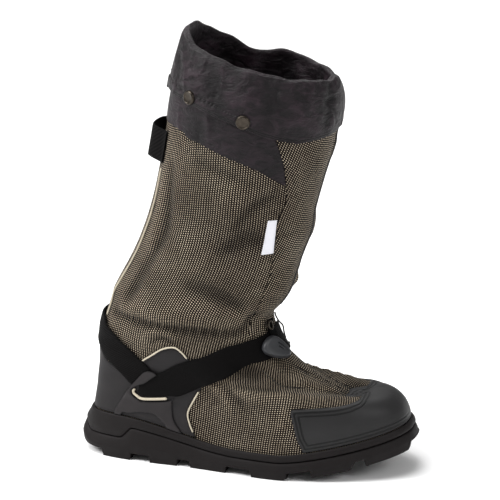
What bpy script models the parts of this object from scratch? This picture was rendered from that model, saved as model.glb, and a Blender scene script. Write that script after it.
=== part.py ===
"""Winter overshoe for the right foot: a tall insulated fabric shaft on a lugged rubber sole.

Metres, +Z up. The toe points to +X and the outer (lateral) side faces -Y. The origin is on the floor,
at the middle of the heel's centre lug. The fabric upper is one function of two numbers: `turn` runs
once round the boot from the heel (0) by the outer side (0.25), the toe (0.5) and the inner side (0.75),
and `row` counts the sections from the lasting edge (0) to the rim. Every overlay, strap and seam lies
on that same function, so they all follow when a size changes.
"""
import bpy
import numpy as np
from mathutils import Matrix, Vector

# Driving dimensions of the sole
SOLE_LENGTH = 0.342        # length that every share along the sole refers to; 4 mm more than the built sole
HEEL_REST = 0.055          # heel back to the middle of the heel's centre lug
BALL_WIDTH = 0.126         # upper at the ball of the foot
HEEL_WIDTH = 0.090         # upper at the heel seat
HEEL_STACK = 0.044         # floor to the top of the midsole at the heel
FOREFOOT_STACK = 0.0245    # the same under the ball
HEEL_GROOVE = 0.034        # floor to the line between outsole and midsole at the heel
FOREFOOT_GROOVE = 0.0168   # the same under the ball
LOBE_DEPTH = 0.0125        # how far the midsole dips into the outsole beside the heel
TOE_SPRING = 0.028         # rise of the sole at the toe tip
LUG_DEPTH = 0.0072         # height of the tread lugs
LUG_DRAFT = 0.0012         # slope of a lug's wall, in plan
CUP_DEPTH = 0.0055         # how deep the upper sits in the midsole
INSOLE_THICKNESS = 0.0035

# Driving dimensions of the upper
INSTEP_HEIGHT = 0.1485     # floor to the throat, where the shaft meets the foot
BOOT_HEIGHT = 0.432        # floor to the highest point of the rim
SHAFT_DEPTH = 0.172        # fore and aft, at the calf
SHAFT_WIDTH = 0.138        # side to side, at the calf
TOE_SWING = 0.006          # how far the toe tip turns to the inner side
WAIST = 0.06               # how much slimmer the inner side is at the arch, share of the half width
WALL = 0.0020              # coated fabric with its insulation

# Layers over the fabric, each measured along the surface's normal
GAP = 0.0003
FLAP_THICKNESS = 0.0011
PANEL_THICKNESS = 0.0008   # nylon panel under the cuff
LABEL_THICKNESS = 0.0006
COUNTER_THICKNESS = 0.0013
CAP_THICKNESS = 0.0017
STAY_THICKNESS = 0.0014    # side stay with its strap keeper
WEBBING_THICKNESS = 0.0019
CUFF_THICKNESS = 0.0024
TAIL_THICKNESS = 0.0011    # folded tail of the strap under the buckle
TAIL_CLEAR = 0.0005        # the strap's face to the tail, which bridges the hollow of the instep

# Small parts
CUFF_CLEAR = 3.0 * GAP + FLAP_THICKNESS      # fabric's outer face to the cuff's skirt
SNAP_SEAT = 0.0004         # the cuff's face to a snap, whose flat base stands on a curved face
SNAP_RADIUS = 0.0072
SNAP_HEIGHT = 0.0028
LOOP_REACH = 0.011         # how far the pull loop stands off the back
THICK_PIPING_RADIUS = 0.0013
PIPING_RADIUS = 0.0008
BUCKLE_LENGTH = 0.028
BUCKLE_WIDTH = 0.0235
BUCKLE_THICKNESS = 0.0058
CORD_RADIUS = 0.0008

ROUND_STEPS = 36           # facets once round the boot

# Sections of the foot. back and front are shares of the sole's length, the _up columns and lift are
# shares of the instep height, heel and ball are shares of the half widths. back_round and front_round
# are the exponents of the section's rounded ends. plane says how far a section has left the sole's
# top line (0) for its own slanting plane (1).
FOOT_COLUMNS = ("back", "front", "back_up", "front_up", "heel", "ball",
                "back_round", "front_round", "plane", "lift")
FOOT_ROWS = (
    (0.0439, 0.960, 0.30, 0.33, 0.990, 1.000, 3.0, 2.50, 0.00, -0.035),
    (0.0424, 0.963, 0.30, 0.33, 1.000, 1.000, 3.0, 2.50, 0.00, 0.000),
    (0.0468, 0.957, 0.38, 0.375, 1.000, 1.000, 3.0, 2.50, 0.10, 0.068),
    (0.0520, 0.943, 0.45, 0.425, 1.015, 0.985, 2.9, 2.50, 0.30, 0.141),
    (0.0555, 0.920, 0.53, 0.468, 1.035, 0.955, 2.8, 2.42, 0.50, 0.210),
    (0.0585, 0.888, 0.61, 0.488, 1.055, 0.915, 2.7, 2.20, 0.72, 0.262),
    (0.0600, 0.845, 0.68, 0.502, 1.075, 0.875, 2.6, 1.95, 0.90, 0.300),
    (0.0615, 0.792, 0.75, 0.500, 1.100, 0.845, 2.6, 1.80, 1.00, 0.330),
    (0.0645, 0.741, 0.81, 0.528, 1.120, 0.825, 2.5, 1.72, 1.00, 0.370),
    (0.0680, 0.695, 0.87, 0.592, 1.135, 0.815, 2.5, 1.72, 1.00, 0.410),
    (0.0750, 0.646, 0.93, 0.680, 1.145, 0.812, 2.4, 1.78, 1.00, 0.450),
    (0.0845, 0.606, 0.99, 0.768, 1.155, 0.815, 2.4, 1.86, 1.00, 0.490),
    (0.0940, 0.578, 1.06, 0.878, 1.165, 0.825, 2.3, 1.95, 1.00, 0.520),
    (0.1040, 0.566, 1.13, 1.000, 1.175, 0.840, 2.3, 2.05, 1.00, 0.550),
)

# Sections of the shaft, which leans forward. back is a share of the sole's length, depth and width are
# shares of the shaft's, and the _up columns are shares of the way from the throat to the rim.
SHAFT_COLUMNS = ("back", "depth", "back_up", "front_up", "width", "back_round", "front_round")
SHAFT_ROWS = (
    (0.1243, 0.928, 0.115, 0.040, 0.776, 2.3, 2.10),
    (0.1520, 0.925, 0.178, 0.093, 0.790, 2.25, 2.15),
    (0.1813, 0.904, 0.252, 0.164, 0.810, 2.2, 2.15),
    (0.2076, 0.889, 0.333, 0.235, 0.838, 2.2, 2.15),
    (0.2266, 0.894, 0.414, 0.309, 0.868, 2.2, 2.15),
    (0.2427, 0.877, 0.499, 0.383, 0.902, 2.2, 2.15),
    (0.2573, 0.890, 0.580, 0.480, 0.938, 2.2, 2.15),
    (0.2690, 0.907, 0.661, 0.563, 0.972, 2.2, 2.15),
    (0.2778, 0.918, 0.739, 0.640, 0.998, 2.2, 2.15),
    (0.2924, 0.910, 0.820, 0.712, 1.000, 2.2, 2.15),
    (0.3114, 0.863, 0.905, 0.775, 0.970, 2.2, 2.15),
    (0.3347, 0.790, 1.000, 0.824, 0.900, 2.2, 2.15),
)
THROAT_ROW = len(FOOT_ROWS) - 1
RIM_ROW = len(FOOT_ROWS) + len(SHAFT_ROWS) - 1
FEATHER_ROW = 1            # the sole's top line
PLAIN_ROWS = (3, 8, THROAT_ROW + 5, THROAT_ROW + 7, THROAT_ROW + 9)   # sections that the facets skip

# Lower edge of the cuff's outer skirt: rows below the rim at shares of the way from heel to toe
HEM = ((0.0, 2.30), (0.30, 2.36), (0.44, 2.64), (0.52, 2.78), (0.60, 3.00), (0.66, 3.08),
       (0.74, 3.14), (0.84, 2.90), (1.0, 2.60))

# Side-view outlines of what lies on the foot: shares of the sole's length and of the instep height
TOE_CAP_EDGE = ((0.700, 0.14), (0.6953, 0.211), (0.6797, 0.285), (0.6677, 0.389), (0.6595, 0.455),
                (0.6620, 0.469), (0.7117, 0.478), (0.7775, 0.485), (0.8234, 0.500), (0.842, 0.530),
                (0.850, 0.70))
COUNTER_EDGE = ((-0.02, 0.760), (0.060, 0.745), (0.090, 0.665), (0.115, 0.632), (0.140, 0.618),
                (0.175, 0.645), (0.212, 0.696), (0.2454, 0.747), (0.2768, 0.799), (0.309, 0.824),
                (0.3254, 0.824), (0.3439, 0.793), (0.3639, 0.741), (0.385, 0.655), (0.398, 0.577),
                (0.3905, 0.536), (0.3761, 0.478), (0.3594, 0.403), (0.3552, 0.355), (0.3617, 0.292),
                (0.3733, 0.216), (0.390, 0.10))
STAY_EDGE = ((0.121, 0.20), (0.125, 0.320), (0.156, 0.440), (0.181, 0.521), (0.218, 0.618),
             (0.232, 0.638), (0.245, 0.641), (0.257, 0.635), (0.262, 0.622), (0.243, 0.584),
             (0.223, 0.549), (0.202, 0.531), (0.187, 0.508), (0.1805, 0.478), (0.190, 0.443),
             (0.2115, 0.4165), (0.291, 0.4405), (0.315, 0.470), (0.306, 0.434), (0.306, 0.361),
             (0.312, 0.300), (0.332, 0.230), (0.340, 0.14), (0.296, 0.14), (0.2865, 0.256),
             (0.276, 0.290), (0.263, 0.318), (0.2455, 0.341), (0.203, 0.337), (0.1686, 0.322),
             (0.1475, 0.314), (0.141, 0.20))
KEEPER_LINE = ((0.194, 0.518), (0.222, 0.584), (0.247, 0.622))    # where the straps end, in the keeper
HEEL_STRAP_TOP = ((-0.03, 0.990), (0.060, 0.975), (0.0894, 0.949), (0.0995, 0.905), (0.1273, 0.864),
                  (0.1523, 0.818), (0.1854, 0.765), (0.2169, 0.706), (0.2378, 0.663))
HEEL_STRAP_BOTTOM = ((-0.03, 0.815), (0.045, 0.790), (0.071, 0.744), (0.0859, 0.690), (0.1155, 0.643),
                     (0.1516, 0.583), (0.178, 0.530))
INSTEP_STRAP_TOP = ((0.2686, 0.622), (0.2902, 0.659), (0.3227, 0.706), (0.3672, 0.751), (0.3995, 0.773),
                    (0.464, 0.840), (0.5228, 0.871), (0.5654, 0.901), (0.580, 0.935), (0.66, 1.0))
INSTEP_STRAP_BOTTOM = ((0.2045, 0.5015), (0.2015, 0.4815), (0.2075, 0.4655), (0.2205, 0.4565),
                       (0.2945, 0.4785), (0.3265, 0.4835), (0.3644, 0.526), (0.3982, 0.570),
                       (0.4726, 0.650), (0.5278, 0.722), (0.558, 0.739), (0.66, 0.785))
KEEPER_RISE = (0.415, 0.480)     # heights between which the stay climbs over the straps
HOOK_PATH = ((0.1955, 0.5035), (0.1905, 0.4895), (0.1918, 0.473), (0.1998, 0.4575), (0.2165, 0.4405),
             (0.2545, 0.4490), (0.2935, 0.463))
ARC_PATH = ((0.222, 0.7125), (0.2454, 0.750), (0.2768, 0.802), (0.309, 0.827), (0.3254, 0.827),
            (0.3439, 0.796), (0.3575, 0.760))
CURVE_PATH = ((0.3895, 0.534), (0.3761, 0.478), (0.3594, 0.403), (0.3552, 0.355), (0.3617, 0.292),
              (0.3705, 0.245))

# Side-view outlines of what lies on the shaft: shares of the sole's length and of the boot height
FRONT_SEAM = ((0.618, 0.80), (0.6204, 0.775), (0.6277, 0.752), (0.6373, 0.715), (0.6400, 0.668),
              (0.6365, 0.627), (0.6180, 0.594), (0.6095, 0.550), (0.600, 0.5075), (0.586, 0.452),
              (0.569, 0.410), (0.548, 0.3754), (0.525, 0.335), (0.520, 0.29))
PANEL_SEAM = ((0.12, 0.800), (0.322, 0.786), (0.370, 0.767), (0.409, 0.758), (0.472, 0.737),
              (0.549, 0.713), (0.598, 0.690), (0.640, 0.668))
LABEL_EDGE = ((0.5904, 0.589), (0.6125, 0.589), (0.5985, 0.510), (0.5684, 0.5085))
SEAM_CLEARANCE = 0.0006

# Places of the small parts
SNAPS = ((0.152, RIM_ROW - 2.10), (0.264, RIM_ROW - 2.52), (0.736, RIM_ROW - 2.52),
         (0.848, RIM_ROW - 2.10))
LOOP_ROWS = (RIM_ROW - 5.45, RIM_ROW - 4.10)
LOOP_HALF_ROUND = 0.088
BUCKLE_AT = (0.441, 11.05)       # turn and row of the buckle's middle
BUCKLE_TILT = 0.35               # how far its narrow end leans to the inner side, in radians
TAIL_TURNS = (0.446, 0.470)
TAIL_ROWS = (11.3, 12.9)         # rows that the tail spans
BACK_SEAM = ((0.073, 10.6), (0.074, 13.0), (0.080, 16.0), (0.0885, 19.35))   # turn and row

# Free draw cord: points from the heel's back, as they lie
CORD_PATH = ((0.1980, -0.006, 0.1517), (0.1992, -0.0065, 0.1478), (0.2026, -0.008, 0.1434),
             (0.2068, -0.010, 0.1402), (0.2085, -0.012, 0.1348), (0.2115, -0.016, 0.1281),
             (0.2136, -0.017, 0.1258), (0.2160, -0.0175, 0.1258))

# Tread: side lugs and centre lugs as shares of the sole's length, from heel back to toe
SIDE_LUGS = ((0.082, 0.170), (0.234, 0.316), (0.360, 0.468), (0.550, 0.652), (0.728, 0.836),
             (0.877, 0.985))
CENTRE_LUGS = ((0.115, 0.205), (0.255, 0.330), (0.380, 0.455), (0.500, 0.615), (0.665, 0.760),
               (0.805, 0.915))
SIDE_LUG_INNER = 0.56      # share of the half width where a side lug's inner wall stands
CENTRE_LUG_OUTER = 0.36
HEEL_BEVEL = 0.0016        # how far the heel's rear edge is raised off the floor
SPRING_START = 0.62        # share of the sole's length where the toe spring begins
SPRING_POWER = 1.35
GROOVE_REACH = (0.0075, 0.0042, 0.0018)     # outside the upper at the back, at the toe and at the sides
GROOVE_STATIONS = (0.0, 0.012, 0.04, 0.125, 0.172, 0.24, 0.345, 0.42, 0.495, 0.58, 0.70, 0.78, 0.86, 0.93,
                   0.975, 0.992, 1.0)    # where the line between midsole and outsole bends

# Origin: everything is built from the heel's back and stands on one empty at the heel's rest
HEEL_BACK_X = -HEEL_REST


def along(share):
    """Distance in X of a share of the sole's length, measured from the heel's back."""
    return HEEL_BACK_X + np.asarray(share, float) * SOLE_LENGTH


def ease(t):
    """Smooth step from 0 to 1: 3 t^2 - 2 t^3."""
    t = np.clip(t, 0.0, 1.0)
    return t * t * (3.0 - 2.0 * t)


def spring(share):
    """Rise of the sole towards the toe: the toe spring times ((share - start) / (1 - start))^power."""
    rising = np.clip((share - SPRING_START) / (1.0 - SPRING_START), 0.0, None)
    return TOE_SPRING * rising ** SPRING_POWER


def heel_drop(share):
    """1 on the heel and 0 from the ball on, easing down under the arch."""
    return 1.0 - ease((share - 0.13) / 0.37)


def feather_height(share):
    """Top line of the midsole."""
    return FOREFOOT_STACK + (HEEL_STACK - FOREFOOT_STACK) * heel_drop(share) + spring(share)


def groove_height(share):
    """Line between outsole and midsole, which dips into a lobe on each side of the heel."""
    lobe = ease((share - 0.005) / 0.04) * (1.0 - ease((share - 0.140) / 0.045))
    return (FOREFOOT_GROOVE + (HEEL_GROOVE - FOREFOOT_GROOVE) * heel_drop(share)
            + spring(share) - LOBE_DEPTH * lobe)


def groove_line(x):
    """The same line as straight pieces between its stations, shared by midsole and outsole."""
    q = section_at(FEATHER_ROW)
    back, front = q["back"] - GROOVE_REACH[0], q["front"] + GROOVE_REACH[1]
    bends = back + (front - back) * np.array(GROOVE_STATIONS)
    return np.interp(x, bends, groove_height((bends - HEEL_BACK_X) / SOLE_LENGTH))


def build_sections():
    """Turn both tables into one array of lengths in metres per column, with a line for each section."""
    foot = {name: np.array(values) for name, values in zip(FOOT_COLUMNS, zip(*FOOT_ROWS))}
    shaft = {name: np.array(values) for name, values in zip(SHAFT_COLUMNS, zip(*SHAFT_ROWS))}
    shaft_height = BOOT_HEIGHT - INSTEP_HEIGHT
    shaft_back = along(shaft["back"])
    half_shaft = shaft["width"] * SHAFT_WIDTH / 2.0
    ones = np.ones(len(SHAFT_ROWS))
    pairs = {
        "back": (along(foot["back"]), shaft_back),
        "front": (along(foot["front"]), shaft_back + shaft["depth"] * SHAFT_DEPTH),
        "back_z": (foot["back_up"] * INSTEP_HEIGHT, INSTEP_HEIGHT + shaft["back_up"] * shaft_height),
        "front_z": (foot["front_up"] * INSTEP_HEIGHT, INSTEP_HEIGHT + shaft["front_up"] * shaft_height),
        "heel": (foot["heel"] * HEEL_WIDTH / 2.0, half_shaft),
        "ball": (foot["ball"] * BALL_WIDTH / 2.0, half_shaft),
        "back_round": (foot["back_round"], shaft["back_round"]),
        "front_round": (foot["front_round"], shaft["front_round"]),
        "plane": (foot["plane"], ones),
        "lift": (foot["lift"] * INSTEP_HEIGHT, 0.0 * ones),
        "footed": (1.0 - ease(np.arange(len(FOOT_ROWS)) / THROAT_ROW), 0.0 * ones),
    }
    return {name: np.concatenate(pair) for name, pair in pairs.items()}


SECTIONS = build_sections()


def section_at(row):
    """Each column at a row that may lie between two sections, by a Catmull-Rom curve."""
    row = np.clip(np.asarray(row, float), 0.0, RIM_ROW)
    base = np.minimum(row.astype(int), RIM_ROW - 1)
    t = row - base
    found = {}
    for name, column in SECTIONS.items():
        padded = np.concatenate(([2 * column[0] - column[1]], column, [2 * column[-1] - column[-2]]))
        a, b, c, d = (padded[base + k] for k in range(4))
        found[name] = b + 0.5 * t * (c - a + t * (2 * a - 5 * b + 4 * c - d + t * (3 * (b - c) + d - a)))
    return found


def plan_shares(turn, back_round, front_round):
    """Shares along and across a rounded loop: a superellipse with one exponent for each end."""
    c, s = np.cos(2 * np.pi * turn), np.sin(2 * np.pi * turn)
    n = np.where(c > 0, back_round, front_round)
    size = (np.abs(c) ** n + np.abs(s) ** n) ** (-1.0 / n)
    return (1.0 - c * size) / 2.0, s * size


def half_width(share, across, heel, ball, footed):
    """Half width from heel to ball, slimmer on the inner side under the arch."""
    half = heel + (ball - heel) * ease((share - 0.28) / 0.44)
    arch = ease((share - 0.12) / 0.25) * (1.0 - ease((share - 0.45) / 0.25))
    return half * (1.0 - WAIST * footed * arch * (across < 0))


def swing(share, footed):
    """Sideways shift of the centre line at the toe, to the inner side (+Y)."""
    return TOE_SWING * footed * ease((share - 0.55) / 0.45)


def surface(turn, row):
    """Points of the fabric's outer face for arrays of `turn` (once round) and `row` (section)."""
    turn, row = np.broadcast_arrays(np.asarray(turn, float), np.asarray(row, float))
    q = section_at(row)
    share, across = plan_shares(turn, q["back_round"], q["front_round"])
    x = q["back"] + (q["front"] - q["back"]) * share
    y = swing(share, q["footed"]) - across * half_width(share, across, q["heel"], q["ball"], q["footed"])
    bow = 1.0 + 0.6 * q["footed"]
    slanting = q["back_z"] + (q["front_z"] - q["back_z"]) * share ** bow
    on_sole = feather_height((x - HEEL_BACK_X) / SOLE_LENGTH) + q["lift"]
    z = on_sole + (slanting - on_sole) * np.clip(q["plane"], 0.0, 1.0)
    return np.stack([x, y, z], axis=-1)


def normals(turn, row):
    """Outward unit normals of the surface, from differences of it."""
    turn, row = np.broadcast_arrays(np.asarray(turn, float), np.asarray(row, float))
    step, rise = 0.004, 0.12
    low, high = np.clip(row - rise, 0.0, RIM_ROW), np.clip(row + rise, 0.0, RIM_ROW)
    up = surface(turn, high) - surface(turn, low)
    out = np.cross(surface(turn + step, row) - surface(turn - step, row), up)
    return out / np.linalg.norm(out, axis=-1, keepdims=True)


def skin(turn, row, offset):
    """The surface moved out along its normals by `offset` metres."""
    offset = np.asarray(offset, float)
    return surface(turn, row) + normals(turn, row) * offset[..., None]


def locate(share_along, height, inner_side=False):
    """turn and row of the surface point seen from the side at a share of the length and a height."""
    target = np.array([float(along(share_along)), height])
    turns = np.linspace(0.01, 0.49, 97)
    rows = np.linspace(FEATHER_ROW, RIM_ROW, 241)
    grid_turn, grid_row = np.meshgrid(turns, rows)
    distance = np.linalg.norm(surface(grid_turn, grid_row)[..., (0, 2)] - target, axis=-1)
    first = np.unravel_index(distance.argmin(), distance.shape)
    best = np.array([grid_turn[first], grid_row[first]])
    for _ in range(20):
        here = surface(best[0], best[1])[(0, 2),]
        by_turn = (surface(best[0] + 1e-4, best[1])[(0, 2),] - here) / 1e-4
        by_row = (surface(best[0], best[1] + 1e-3)[(0, 2),] - here) / 1e-3
        change, *_ = np.linalg.lstsq(np.stack([by_turn, by_row], axis=1), target - here, rcond=1e-6)
        best = np.clip(best + np.clip(change, -0.01, 0.01), (0.0, 0.0), (0.5, RIM_ROW))
    return (1.0 - best[0] if inner_side else best[0]), best[1]


def material(name, colour, roughness, metallic=0.0):
    """A Principled BSDF in one colour, given as a linear red, green, blue triple."""
    made = bpy.data.materials.new(name)
    made.use_nodes = True
    shader = made.node_tree.nodes["Principled BSDF"]
    shader.inputs["Base Color"].default_value = (*colour, 1.0)
    shader.inputs["Roughness"].default_value = roughness
    shader.inputs["Metallic"].default_value = metallic
    return made


def add_object(name, points, faces, finish, smooth=True):
    """One named mesh object from points and faces, standing on the boot's empty."""
    mesh = bpy.data.meshes.new(name)
    mesh.from_pydata([tuple(point) for point in np.asarray(points, float)], [], faces)
    mesh.update()
    made = bpy.data.objects.new(name, mesh)
    bpy.context.collection.objects.link(made)
    made.parent = BOOT
    if finish is not None:
        mesh.materials.append(finish)
    if smooth:
        mesh.shade_smooth()
        mesh.set_sharp_from_angle(angle=0.7)
    return made


def grid_faces(lines, points, closed, start=0, flip=False):
    """Triangles between `lines` rows of `points` points each, joined end to end when closed.

    Every cell is split along the same diagonal, so that two layers on one grid have parallel facets.
    """
    triangles = []
    for i in range(lines - 1):
        for j in range(points if closed else points - 1):
            k = (j + 1) % points
            a, b = start + i * points + j, start + i * points + k
            c, d = b + points, a + points
            triangles += [(c, b, a), (d, c, a)] if flip else [(a, b, c), (a, c, d)]
    return triangles


def ring_solid(name, loops, finish, flip=False):
    """Closed ring from a list of closed loops; the last loop joins the first."""
    count = len(loops[0])
    points = np.concatenate(loops)
    faces = grid_faces(len(loops), count, True, flip=flip)
    last = (len(loops) - 1) * count
    for j in range(count):
        k = (j + 1) % count
        quad = (last + j, last + k, k, j)
        faces.append(quad[::-1] if flip else quad)
    return add_object(name, points, faces, finish)


def patch_solid(name, turns, rows, inner, outer, finish):
    """Piece of skin between two offsets. inner and outer are numbers, or functions of turn and row."""
    grid_turn, grid_row = np.meshgrid(turns, rows)
    values = []
    for offset in (outer, inner):
        values.append(offset(grid_turn, grid_row) if callable(offset) else np.full(grid_turn.shape, offset))
    faces_per_side = grid_turn.size
    points = np.concatenate([skin(grid_turn, grid_row, value).reshape(-1, 3) for value in values])
    lines, count = grid_turn.shape
    faces = grid_faces(lines, count, False)
    faces += grid_faces(lines, count, False, start=faces_per_side, flip=True)
    border = (list(range(count)) + [i * count + count - 1 for i in range(1, lines)]
              + [(lines - 1) * count + j for j in range(count - 2, -1, -1)]
              + [i * count for i in range(lines - 2, 0, -1)])
    for here, after in zip(border, border[1:] + border[:1]):
        faces.append((after, here, here + faces_per_side, after + faces_per_side))
    return add_object(name, points, faces, finish)


def side_cutter(name, outline, up_size, y_from, y_to):
    """Closed prism across the boot from a side-view outline, kept as a guide and left out of the part."""
    flat = [(float(along(share)), up * up_size) for share, up in outline]
    area = sum(x0 * z1 - x1 * z0 for (x0, z0), (x1, z1) in zip(flat, flat[1:] + flat[:1]))
    if area < 0:
        flat.reverse()
    count = len(flat)
    points = [(x, y_from, z) for x, z in flat] + [(x, y_to, z) for x, z in flat]
    faces = [tuple(range(count)), tuple(range(2 * count - 1, count - 1, -1))]
    faces += [((j + 1) % count, j, count + j, count + (j + 1) % count) for j in range(count)]
    cutter = add_object(name, points, faces, None, smooth=False)
    cutter.hide_render = True
    cutter.display_type = "WIRE"
    return cutter


def cut(piece, cutter, operation="INTERSECT"):
    """Boolean of a piece with a guide."""
    modifier = piece.modifiers.new(cutter.name, "BOOLEAN")
    modifier.operation = operation
    modifier.solver = "EXACT"
    modifier.object = cutter


def turn_steps(first, last):
    """The fabric's own facet lines between two counts, so that layers lie parallel to it."""
    return np.arange(first, last + 1) / ROUND_STEPS


def row_steps(first, last):
    """The fabric's own section lines between two rows, with the two ends."""
    whole = range(int(np.ceil(first)), int(np.floor(last)) + 1)
    inside = [row for row in whole if first < row < last and row not in PLAIN_ROWS]
    return np.array([first, *inside, last], float)


def smooth_path(points, steps):
    """Catmull-Rom curve through a short list of points, ends included."""
    points = np.asarray(points, float)
    padded = np.concatenate(([2 * points[0] - points[1]], points, [2 * points[-1] - points[-2]]))
    t = np.linspace(0.0, len(points) - 1.0, steps)
    base = np.minimum(t.astype(int), len(points) - 2)
    t = (t - base)[:, None]
    a, b, c, d = (padded[base + k] for k in range(4))
    return b + 0.5 * t * (c - a + t * (2 * a - 5 * b + 4 * c - d + t * (3 * (b - c) + d - a)))


def tube(name, points, radius, finish):
    """Round tube along a line of points, as a curve with filled caps."""
    curve = bpy.data.curves.new(name, "CURVE")
    curve.dimensions = "3D"
    curve.bevel_depth = radius
    curve.bevel_resolution = 1
    curve.use_fill_caps = True
    spline = curve.splines.new("POLY")
    spline.points.add(len(points) - 1)
    weighted = np.column_stack([points, np.ones(len(points))]).astype(np.float32)
    spline.points.foreach_set("co", weighted.ravel())
    curve.materials.append(finish)
    made = bpy.data.objects.new(name, curve)
    bpy.context.collection.objects.link(made)
    made.parent = BOOT
    return made


def tread_stations():
    """Shares along the sole where the tread has a wall, plus the steps of the side's curve."""
    draft = LUG_DRAFT / SOLE_LENGTH
    shares = set(GROOVE_STATIONS)
    for start, end in SIDE_LUGS + CENTRE_LUGS:
        shares.update((start - draft, start, end, end + draft))
    return np.array(sorted(shares))


def tread_drop(share, across):
    """1 on the face of a lug, 0 between lugs."""
    side = any(start <= share <= end for start, end in SIDE_LUGS) and abs(across) >= SIDE_LUG_INNER
    centre = any(start <= share <= end for start, end in CENTRE_LUGS) and abs(across) <= CENTRE_LUG_OUTER
    return float(side or centre)


def sole_point(share, side, back_reach, front_reach, reach):
    """Plan point of the sole on its outer (-1) or inner (+1) side, a reach outside the upper's outline."""
    q = section_at(FEATHER_ROW)
    back, front = q["back"] - back_reach, q["front"] + front_reach
    n = q["back_round"] if share < 0.5 else q["front_round"]
    across = max(0.0, 1.0 - abs(2.0 * share - 1.0) ** n) ** (1.0 / n)
    half = half_width(share, -side * across, q["heel"], q["ball"], 1.0) + reach
    return back + (front - back) * share, swing(share, 1.0) + side * across * half


def build_outsole(finish):
    """Lugged rubber outsole: a flared side, a flat top and a tread of side and centre lugs."""
    stations = tread_stations()
    last = len(stations) - 1
    groove = GAP / 2.0
    # Loops from the top edge down to the tread: reach at the back, at the toe and at the sides
    side_loops = (GROOVE_REACH, (0.0095, 0.0064, 0.0038), (0.0135, 0.0090, 0.0058),
                  (0.0118, 0.0100, 0.0046))
    half_edges = (CENTRE_LUG_OUTER, CENTRE_LUG_OUTER + 0.03, SIDE_LUG_INNER - 0.03, SIDE_LUG_INNER, 1.0)
    across_edges = (*(-edge for edge in half_edges[::-1]), *half_edges)

    def height(level, share, x):
        """Height of a side loop: the groove, just under it, the widest line, and the tread."""
        real = (x - HEEL_BACK_X) / SOLE_LENGTH
        top = groove_line(x) - groove
        bottom = spring(real) + HEEL_BEVEL * (1.0 - ease(share / 0.06))
        if level == 0:
            return top
        if level == 1:
            return top - 0.0018
        if level == 2:
            return bottom + 0.52 * (top - bottom)
        return bottom + LUG_DEPTH * (1.0 - tread_drop(share, 1.0))

    points, faces = [], []
    loops = []
    for level, (back_reach, front_reach, reach) in enumerate(side_loops):
        loop = []
        order = [(i, -1.0) for i in range(last + 1)] + [(i, 1.0) for i in range(last - 1, 0, -1)]
        for i, side in order:
            x, y = sole_point(stations[i], side, back_reach, front_reach, reach)
            loop.append(len(points))
            points.append((x, y, height(level, stations[i], x)))
        loops.append(loop)
    count = len(loops[0])
    for upper_loop, lower_loop in zip(loops, loops[1:]):
        for j in range(count):
            k = (j + 1) % count
            faces.append((upper_loop[j], upper_loop[k], lower_loop[k], lower_loop[j])[::-1])

    def column(loop, i):
        """The loop's outer and inner vertex at a station."""
        return loop[i], loop[(count - i) % count]

    for i in range(last):
        outer_a, inner_a = column(loops[0], i)
        outer_b, inner_b = column(loops[0], i + 1)
        ring = [outer_a, outer_b, inner_b, inner_a]
        faces.append(tuple(dict.fromkeys(ring)))

    columns = []
    for i, share in enumerate(stations):
        outer, inner = column(loops[-1], i)
        if outer == inner:
            columns.append([outer] * len(across_edges))
            continue
        start, end = np.array(points[outer]), np.array(points[inner])
        line = [outer]
        for across in across_edges[1:-1]:
            point = start + (end - start) * (across + 1.0) / 2.0
            real = (point[0] - HEEL_BACK_X) / SOLE_LENGTH
            bottom = spring(real) + HEEL_BEVEL * (1.0 - ease(share / 0.06))
            point[2] = bottom + LUG_DEPTH * (1.0 - tread_drop(share, across))
            line.append(len(points))
            points.append(tuple(point))
        columns.append(line + [inner])
    for left, right in zip(columns, columns[1:]):
        for j in range(len(across_edges) - 1):
            ring = tuple(dict.fromkeys((left[j], left[j + 1], right[j + 1], right[j])))
            if len(ring) > 2:
                faces.append(ring)
    return add_object("outsole", points, faces, finish)


def sole_loop(turns, back_reach, front_reach, reach, height, row=FEATHER_ROW):
    """Closed loop round the sole, a reach outside the upper's outline at a row, at height(share of X)."""
    q = section_at(row)
    share, across = plan_shares(turns, q["back_round"], q["front_round"])
    back, front = q["back"] - back_reach, q["front"] + front_reach
    x = back + (front - back) * share
    half = half_width(share, across, q["heel"], q["ball"], q["footed"]) + reach
    y = swing(share, q["footed"]) - across * half
    real = (x - HEEL_BACK_X) / SOLE_LENGTH
    return np.stack([x, y, height(real)], axis=-1)


def cap_faces(loop, flip):
    """Fill a closed loop by strips straight across, from its first point to its middle one."""
    count = len(loop)
    faces = []
    for i in range(count // 2):
        corners = (loop[i], loop[i + 1], loop[(count - i - 1) % count], loop[(count - i) % count])
        ring = tuple(dict.fromkeys(corners))
        faces.append(ring[::-1] if flip else ring)
    return faces


def zip_faces(first, first_shares, second, second_shares):
    """Triangles between two closed loops of different counts, matched by their shares of the way round."""
    triangles = []
    i = j = 0
    ends = [*first_shares, 1.0], [*second_shares, 1.0]
    while i < len(first) or j < len(second):
        a, b = first[i % len(first)], second[j % len(second)]
        if j == len(second) or (i < len(first) and ends[0][i + 1] <= ends[1][j + 1]):
            triangles.append((a, first[(i + 1) % len(first)], b))
            i += 1
        else:
            triangles.append((a, second[(j + 1) % len(second)], b))
            j += 1
    return triangles


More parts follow.
